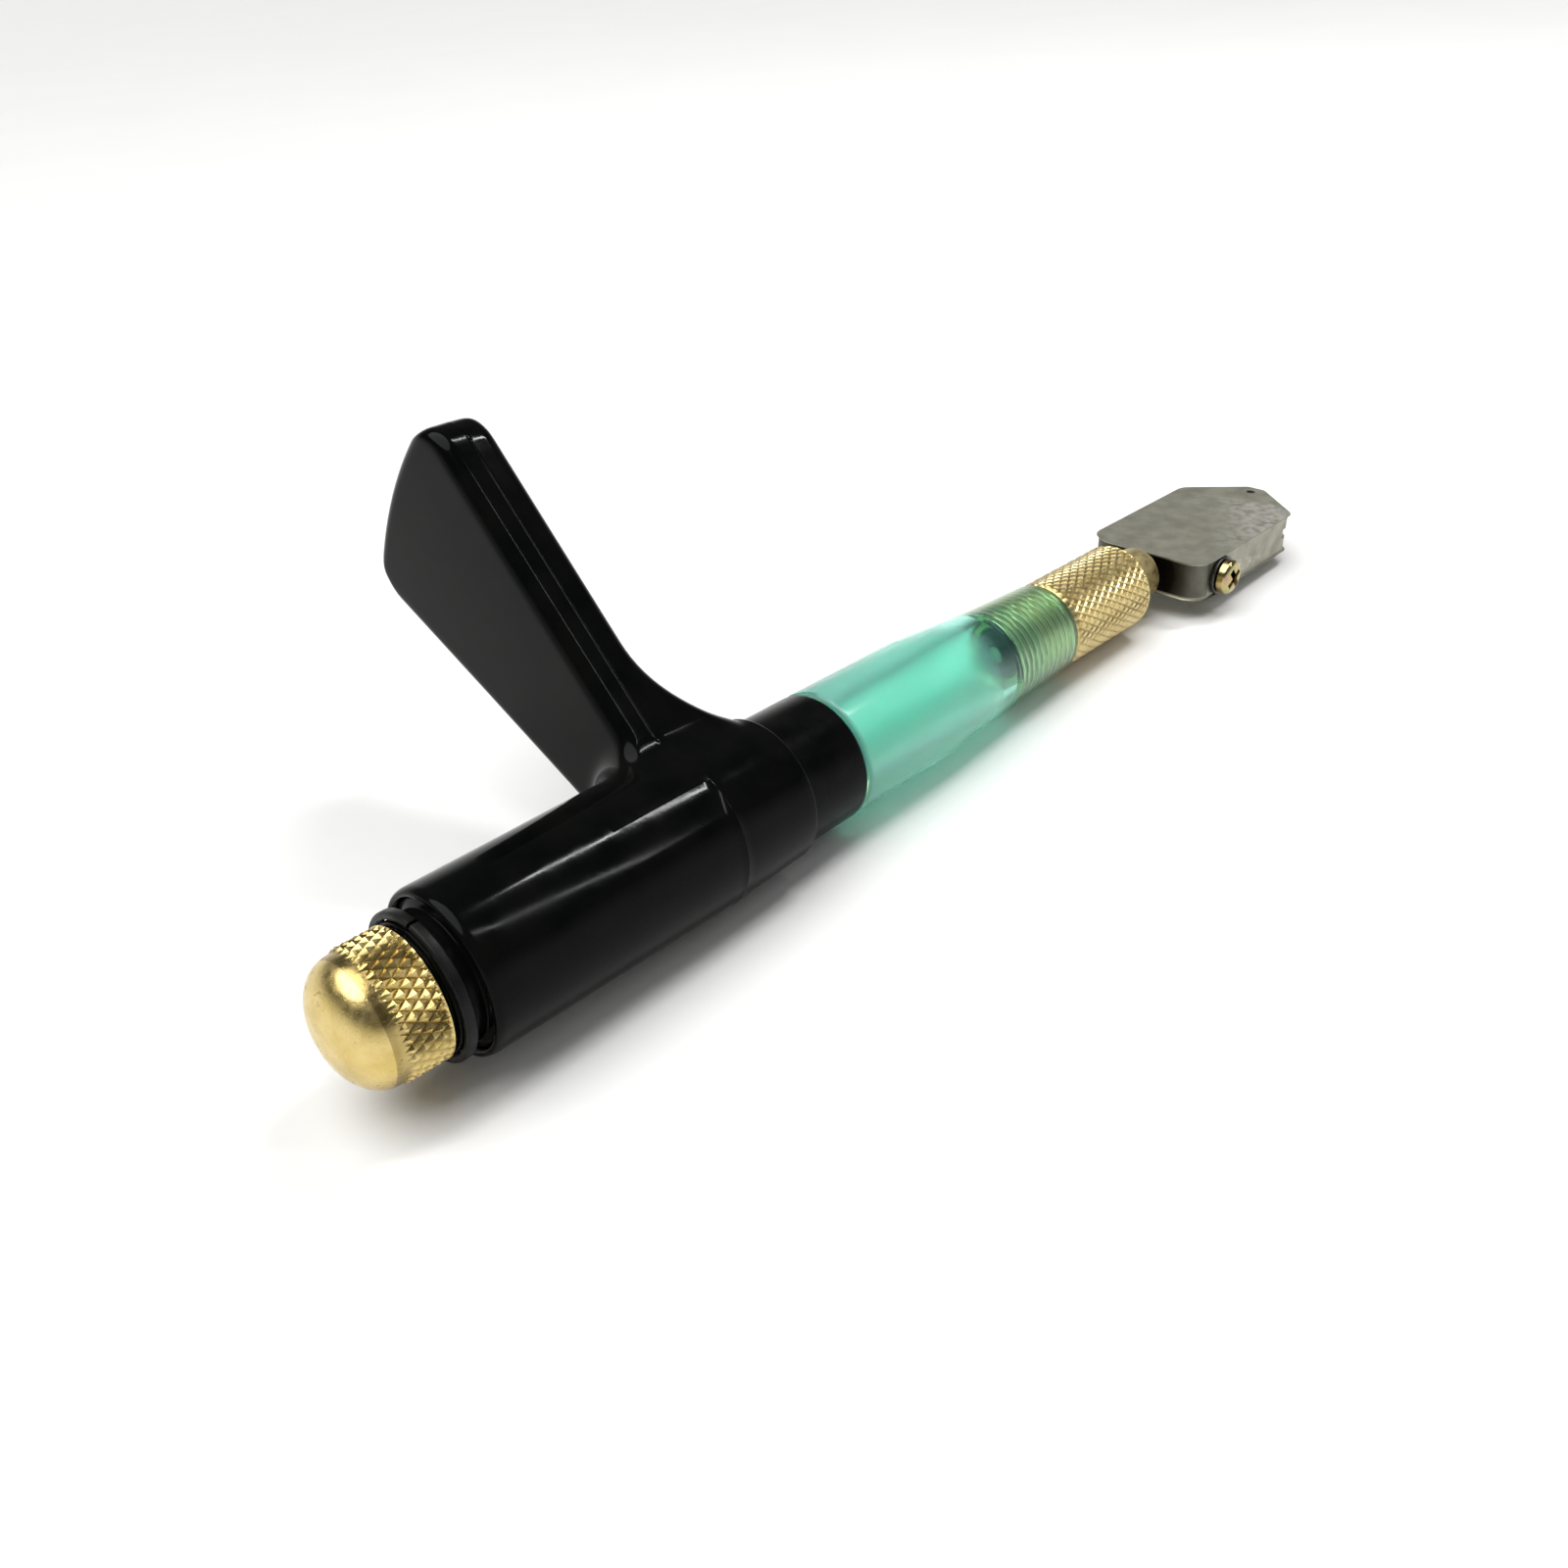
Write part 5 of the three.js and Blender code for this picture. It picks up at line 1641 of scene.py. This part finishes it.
@dataclass
class CuttingHead:
    """Flat steel head with its wheel, axle, side screw and washer."""

    workshop: Workshop
    width: float = 16.2
    thickness: float = 5.1
    side_length: float = 23.9
    tip_half: float = 1.1
    rear_corner: float = 2.6
    front_corner: float = 0.9
    tip_corner: float = 0.3
    bevel: float = 0.34
    post_bore: float = 2.15
    post_depth: float = 10.6
    slot: float = 1.3
    slot_past_shoulder: float = 1.2
    axle: float = 0.4
    hole_gap: float = 0.2
    oil_way: float = 0.665
    wheel_half: float = 0.45
    wheel_grind: float = 0.9
    screw_thread: float = 1.0
    screw_pitch: float = 0.4
    screw_thread_depth: float = 0.16
    screw_head_height: float = 1.5
    screw_head_radius: float = 2.25
    screw_rim: float = 0.55
    screw_tip: float = 0.6
    screw_rows: int = 150
    crown_rings: int = 14
    crown_power: float = 0.55
    recess_depth: float = 1.05
    recess_turn: float = math.radians(38.0)
    recess_outer: tuple[float, float] = (1.95, 0.50)
    recess_floor: tuple[float, float] = (0.70, 0.30)

    def build(self) -> None:
        """Makes the head and what it carries."""
        tool = self.workshop.tool
        self.size = tool.span("head_body")
        self.wheel_at = tool.centre("cutting_wheel")
        self.screw_at = tool.centre("head_screw")
        self.plate()
        self.wheel()
        self.pin()
        self.screw()
        self.washer()

    def outline(self) -> list[tuple[float, float]]:
        """The head seen from above, with its corners rounded."""
        half = self.width / 2
        rear, front = self.size.rear, self.size.front
        shoulder = rear + self.side_length
        corners = [
            Corner(rear, -half, self.rear_corner), Corner(shoulder, -half, self.front_corner * 2),
            Corner(front, -self.tip_half, self.tip_corner), Corner(front, self.tip_half, self.tip_corner),
            Corner(shoulder, half, self.front_corner * 2), Corner(rear, half, self.rear_corner)]
        return rounded(corners, True, 10)

    def plate(self) -> bpy.types.Object:
        """The head's body: bevelled plate, post bore, slot, and holes for oil, axle and screw."""
        outline = self.outline()
        count = len(outline)
        low = [(x, y, -self.thickness / 2) for x, y in outline]
        high = [(x, y, self.thickness / 2) for x, y in outline]
        faces: list[Face] = [tuple(range(count)), tuple(range(2 * count - 1, count - 1, -1))]
        faces += [(k, (k + 1) % count, count + (k + 1) % count, count + k) for k in range(count)]
        piece = self.workshop.blank("head_body_steel", low + high, faces)
        body = bmesh.new()
        body.from_mesh(piece.data)
        rims = [e for e in body.edges if abs(e.verts[0].co.z - e.verts[1].co.z) < 1e-6]
        bmesh.ops.bevel(body, geom=rims, offset=self.bevel, segments=3, profile=0.5, affect="EDGES")
        body.to_mesh(piece.data)
        body.free()
        rear = self.size.rear
        shop = self.workshop
        slot_rear = rear + self.side_length - self.slot_past_shoulder
        half_slot = self.slot / 2
        reach = self.width / 2 + 1.0
        slot = shop.blank("slot_cutter", *box_shape((slot_rear, -reach, -half_slot),
                                                    (self.size.front + 1.0, reach, half_slot)))
        wheel = self.wheel_at.x
        screw = self.screw_at.x
        floor = rear + self.post_depth
        axle_hole = self.axle + self.hole_gap
        screw_hole = self.screw_thread + self.hole_gap
        shop.cut(
            piece,
            shop.rod("post_drill", (rear - 1.0, 0.0, 0.0), (floor, 0.0, 0.0), self.post_bore, 64),
            shop.rod("oil_drill", (floor - 0.5, 0.0, 0.0), (slot_rear + 1.0, 0.0, 0.0), self.oil_way, 32),
            slot,
            shop.rod("axle_drill", (wheel, 0.0, -reach), (wheel, 0.0, reach), axle_hole, 32),
            shop.rod("screw_drill", (screw, 0.0, 0.0), (screw, -reach, 0.0), screw_hole, 48))
        return shop.finished(piece, "head", "head_body", HEAD_STEEL, crease=28.0)

    def wheel(self) -> bpy.types.Object:
        """Carbide wheel with a ground edge, flat on the head's middle plane."""
        low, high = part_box("cutting_wheel")
        radius = (high.y - low.y) / 2 / MM
        half = self.wheel_half
        ground = radius - half * self.wheel_grind
        bore = self.axle + self.hole_gap
        points, faces = lathe(rounded([
            Corner(-half, bore, 0.05), Corner(-half, ground, 0.04), Corner(0.0, radius, 0.02),
            Corner(half, ground, 0.04), Corner(half, bore, 0.05)], True, 3), 120, True)
        placed = [(self.wheel_at.x + z, y, self.wheel_at.z + x) for x, y, z in points]
        piece = self.workshop.blank("cutting_wheel_carbide", placed, faces)
        return self.workshop.finished(piece, "wheel", "cutting_wheel", CARBIDE, crease=25.0)

    def pin(self) -> bpy.types.Object:
        """Steel pin through the head and the wheel."""
        half = self.thickness / 2 - 0.1
        outline = [Corner(-half, 0.0), Corner(-half, self.axle, 0.1), Corner(half, self.axle, 0.1),
                   Corner(half, 0.0)]
        points, faces = lathe(rounded(outline, False, 4), 40, False)
        placed = [(self.wheel_at.x + z, y, x) for x, y, z in points]
        piece = self.workshop.blank("wheel_axle_pin", placed, faces)
        return self.workshop.finished(piece, "head", "wheel_axle", DARK_STEEL)

    def sideways(self, points: Iterable[Point], seat: float) -> list[Point]:
        """Points turned about X moved to the head's side, with their zero station at the seat."""
        return [(self.screw_at.x + z, seat + x, self.screw_at.z + y) for x, y, z in points]

    def screw(self) -> bpy.types.Object:
        """Pan-head screw with a cross recess."""
        low, high = (self.workshop.tool.matrix.inverted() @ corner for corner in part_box("head_screw"))
        seat = low.y + self.screw_head_height
        length = high.y - seat
        crown = [Corner(-self.screw_head_height, 0.0)]
        for k in range(1, self.crown_rings + 1):
            angle = math.pi / 2 * k / self.crown_rings
            height = self.screw_head_height * (self.screw_rim + (1 - self.screw_rim) * math.cos(angle))
            crown.append(Corner(-height, self.screw_head_radius * math.sin(angle) ** self.crown_power))
        thread, tip = self.screw_thread, self.screw_tip
        thread_end = length - 1.2
        shaft = [Corner(-0.1, self.screw_head_radius), Corner(0.0, self.screw_head_radius - 0.1),
                 Corner(0.0, thread)]
        shaft += stretch((0.0, thread), (thread_end, thread), self.screw_rows)
        shaft += [Corner(thread_end + 0.4, tip), Corner(length, tip), Corner(length, 0.0)]
        piece = self.workshop.turned("head_screw_zinc", crown + shaft, 72, closed=False)
        ReliefNodes.press(self.workshop, piece, Relief(
            Pattern.SCREW_THREAD, 0.1, thread_end, thread, self.screw_pitch, self.screw_thread_depth,
            flat=0.15, fade=0.3), YELLOW_ZINC)
        placed = self.sideways([tuple(v.co) for v in piece.data.vertices], seat)
        for vertex, point in zip(piece.data.vertices, placed):
            vertex.co = point
        outer = seat - self.screw_head_height
        cutters = [self.cross_arm(outer - 0.5, outer + self.recess_depth, turned) for turned in (False, True)]
        self.workshop.cut(piece, *cutters)
        recalculated(piece)
        return self.workshop.finished(piece, "screw", "head_screw", YELLOW_ZINC, crease=30.0)

    def cross_arm(self, outer: float, floor: float, turned: bool) -> bpy.types.Object:
        """One arm of the screw's recess, narrower at its floor.

        Args:
            outer: station across the head where the cutter starts.
            floor: where the recess ends.
            turned: whether the arm stands across the other one.

        Returns:
            The cutter.
        """
        tilt = self.recess_turn + (math.pi / 2 if turned else 0.0)
        points: list[Point] = []
        for y, (long, wide) in ((outer, self.recess_outer), (floor, self.recess_floor)):
            for dx, dz in ((-long, -wide), (long, -wide), (long, wide), (-long, wide)):
                x = dx * math.cos(tilt) - dz * math.sin(tilt)
                z = dx * math.sin(tilt) + dz * math.cos(tilt)
                points.append((self.screw_at.x + x, y, self.screw_at.z + z))
        faces: list[Face] = [(0, 1, 2, 3), (7, 6, 5, 4)]
        faces += [(k, (k + 1) % 4, 4 + (k + 1) % 4, 4 + k) for k in range(4)]
        return recalculated(self.workshop.blank("recess_cutter", points, faces))

    def washer(self) -> bpy.types.Object:
        """Dark spring washer under the screw's head."""
        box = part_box("screw_washer")
        low, high = (self.workshop.tool.matrix.inverted() @ corner for corner in box)
        inner = self.screw_thread + self.hole_gap
        outer = (box[1].x - box[0].x) / 2 / MM
        thick = high.y - low.y
        points, faces = lathe(rounded([
            Corner(0.0, inner, 0.08), Corner(0.0, outer, 0.12), Corner(thick, outer, 0.12),
            Corner(thick, inner, 0.08)], True, 4), 72, True)
        piece = self.workshop.blank("screw_washer_dark", self.sideways(points, low.y), faces)
        recalculated(piece)
        return self.workshop.finished(piece, "screw_lift", "screw_washer", DARK_STEEL)


def box_shape(low: Point, high: Point) -> tuple[list[Point], list[Face]]:
    """Points and faces of a box between two corners."""
    points = [(x, y, z) for z in (low[2], high[2]) for y in (low[1], high[1]) for x in (low[0], high[0])]
    faces: list[Face] = [(0, 2, 3, 1), (4, 5, 7, 6), (0, 1, 5, 4), (2, 6, 7, 3), (0, 4, 6, 2), (1, 3, 7, 5)]
    return points, faces


def recalculated(piece: bpy.types.Object) -> bpy.types.Object:
    """Turns a piece's faces outward after it was turned over or cut."""
    body = bmesh.new()
    body.from_mesh(piece.data)
    bmesh.ops.recalc_face_normals(body, faces=body.faces)
    body.to_mesh(piece.data)
    body.free()
    return piece


# ---------------------------------------------------------------- floor, light and camera


@dataclass(frozen=True)
class StripLight:
    """A long narrow light that draws a streak along polished pieces.

    Args:
        name: the light's name.
        direction: where it hangs, seen from the tool.
        along: the direction of its long side.
        width: its short side in metres.
        length: its long side in metres.
        power: its power in watts.
    """

    name: str
    direction: Point
    along: Point
    width: float
    length: float
    power: float


BRIGHT_STRIP = StripLight("bright_strip", (0.51, -0.06, 0.86), (0.575, -0.71, -0.406), 0.018, 0.26, 1.9)
DIM_STRIP = StripLight("dim_strip", (0.42, -0.53, 0.735), (0.39, -0.595, -0.70), 0.014, 0.43, 0.6)


@dataclass
class Studio:
    """Plain pale floor, soft light and the camera.

    Directions and places are in the tool's frame, places in millimetres. The floor's half width, the
    lights' sizes and the strips' distance are in metres.
    """

    tool: ToolFrame
    eye: Point = (-40.48, -81.41, 72.07)
    sight: Point = (0.60921, 0.59082, -0.52895)
    eye_up: Point = (0.39914, 0.34792, 0.84832)
    lens: float = 31.5
    floor_half: float = 9.0
    sun_from: Point = (-0.32, 0.22, 0.92)
    sun_strength: float = 3.0
    sun_width: float = math.radians(60.0)
    strip_centre: Point = (25.0, 0.0, 0.0)
    strip_distance: float = 0.8
    horizon_light: float = 1.05
    overhead_light: float = 0.11

    def build(self) -> None:
        """Sets up the floor, the lights, the world and the camera."""
        self.floor()
        self.world()
        self.soft_sun()
        for light in (BRIGHT_STRIP, DIM_STRIP):
            self.strip(light)
        self.camera()

    def floor(self) -> None:
        """A wide, level floor under the tool."""
        mesh = bpy.data.meshes.new("floor")
        half = self.floor_half
        mesh.from_pydata([(-half, -half, 0.0), (half, -half, 0.0), (half, half, 0.0), (-half, half, 0.0)],
                         [], [(0, 1, 2, 3)])
        made = bpy.data.objects.new("floor", mesh)
        bpy.context.scene.collection.objects.link(made)
        mesh.materials.append(PALE_FLOOR.material(self.tool))

    def world(self) -> None:
        """A room that is bright near the horizon and dim overhead."""
        world = bpy.data.worlds.new("studio_room")
        bpy.context.scene.world = world
        world.use_nodes = True
        world.node_tree.nodes.clear()
        sketch = NodeSketch(world.node_tree)
        _, _, up = sketch.split(sketch.add("ShaderNodeTexCoord").outputs["Generated"])
        bright = spread(sketch, up, 0.02, 0.32, self.horizon_light, self.overhead_light)
        light = sketch.add("ShaderNodeBackground")
        sketch.feed(light.inputs["Color"], (1.0, 1.0, 0.99, 1.0))
        sketch.feed(light.inputs["Strength"], bright)
        out = sketch.add("ShaderNodeOutputWorld")
        sketch.feed(out.inputs["Surface"], light.outputs[0])
        bpy.context.scene.view_settings.view_transform = "Standard"

    def soft_sun(self) -> None:
        """Wide soft light from above, behind the cap."""
        sun = bpy.data.lights.new("overhead_soft", "SUN")
        sun.energy = self.sun_strength
        sun.angle = self.sun_width
        made = bpy.data.objects.new("overhead_soft", sun)
        bpy.context.scene.collection.objects.link(made)
        made.rotation_mode = "QUATERNION"
        made.rotation_quaternion = self.tool.aim(self.sun_from).to_track_quat("Z", "Y")

    def strip(self, light: StripLight) -> None:
        """Hangs a strip light over the tool."""
        lamp = bpy.data.lights.new(light.name, "AREA")
        lamp.shape = "RECTANGLE"
        lamp.size = light.length
        lamp.size_y = light.width
        lamp.energy = light.power
        made = bpy.data.objects.new(light.name, lamp)
        bpy.context.scene.collection.objects.link(made)
        out = self.tool.aim(light.direction)
        side = self.tool.aim(light.along)
        side = (side - out * side.dot(out)).normalized()
        turned = Matrix((side, out.cross(side), out)).transposed().to_4x4()
        hung = self.tool.place(self.strip_centre) + out * self.strip_distance
        made.matrix_world = Matrix.Translation(hung) @ turned

    def camera(self) -> None:
        """A camera near the cap's end that looks along the tool."""
        lens = bpy.data.cameras.new("studio_camera")
        lens.lens = self.lens
        lens.sensor_width = 36.0
        lens.clip_start = 0.005
        lens.clip_end = 60.0
        made = bpy.data.objects.new("studio_camera", lens)
        bpy.context.scene.collection.objects.link(made)
        ahead = self.tool.aim(self.sight)
        up = self.tool.aim(self.eye_up)
        right = ahead.cross(up).normalized()
        up = right.cross(ahead)
        turned = Matrix((right, up, -ahead)).transposed().to_4x4()
        made.matrix_world = Matrix.Translation(self.tool.place(self.eye)) @ turned
        bpy.context.scene.camera = made


def main() -> None:
    """Builds every sub-assembly, then the studio."""
    logging.basicConfig(level=logging.INFO, format="%(message)s")
    tool = ToolFrame.from_frame(frame)
    workshop = Workshop(tool)
    for assembly in (FillerCap(workshop), HandleSleeve(workshop), Saddle(workshop), Reservoir(workshop),
                     Ferrule(workshop), CuttingHead(workshop)):
        assembly.build()
        LOG.info("%s done", type(assembly).__name__)
    Studio(tool).build()
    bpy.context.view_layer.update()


if __name__ == "__main__":
    main()
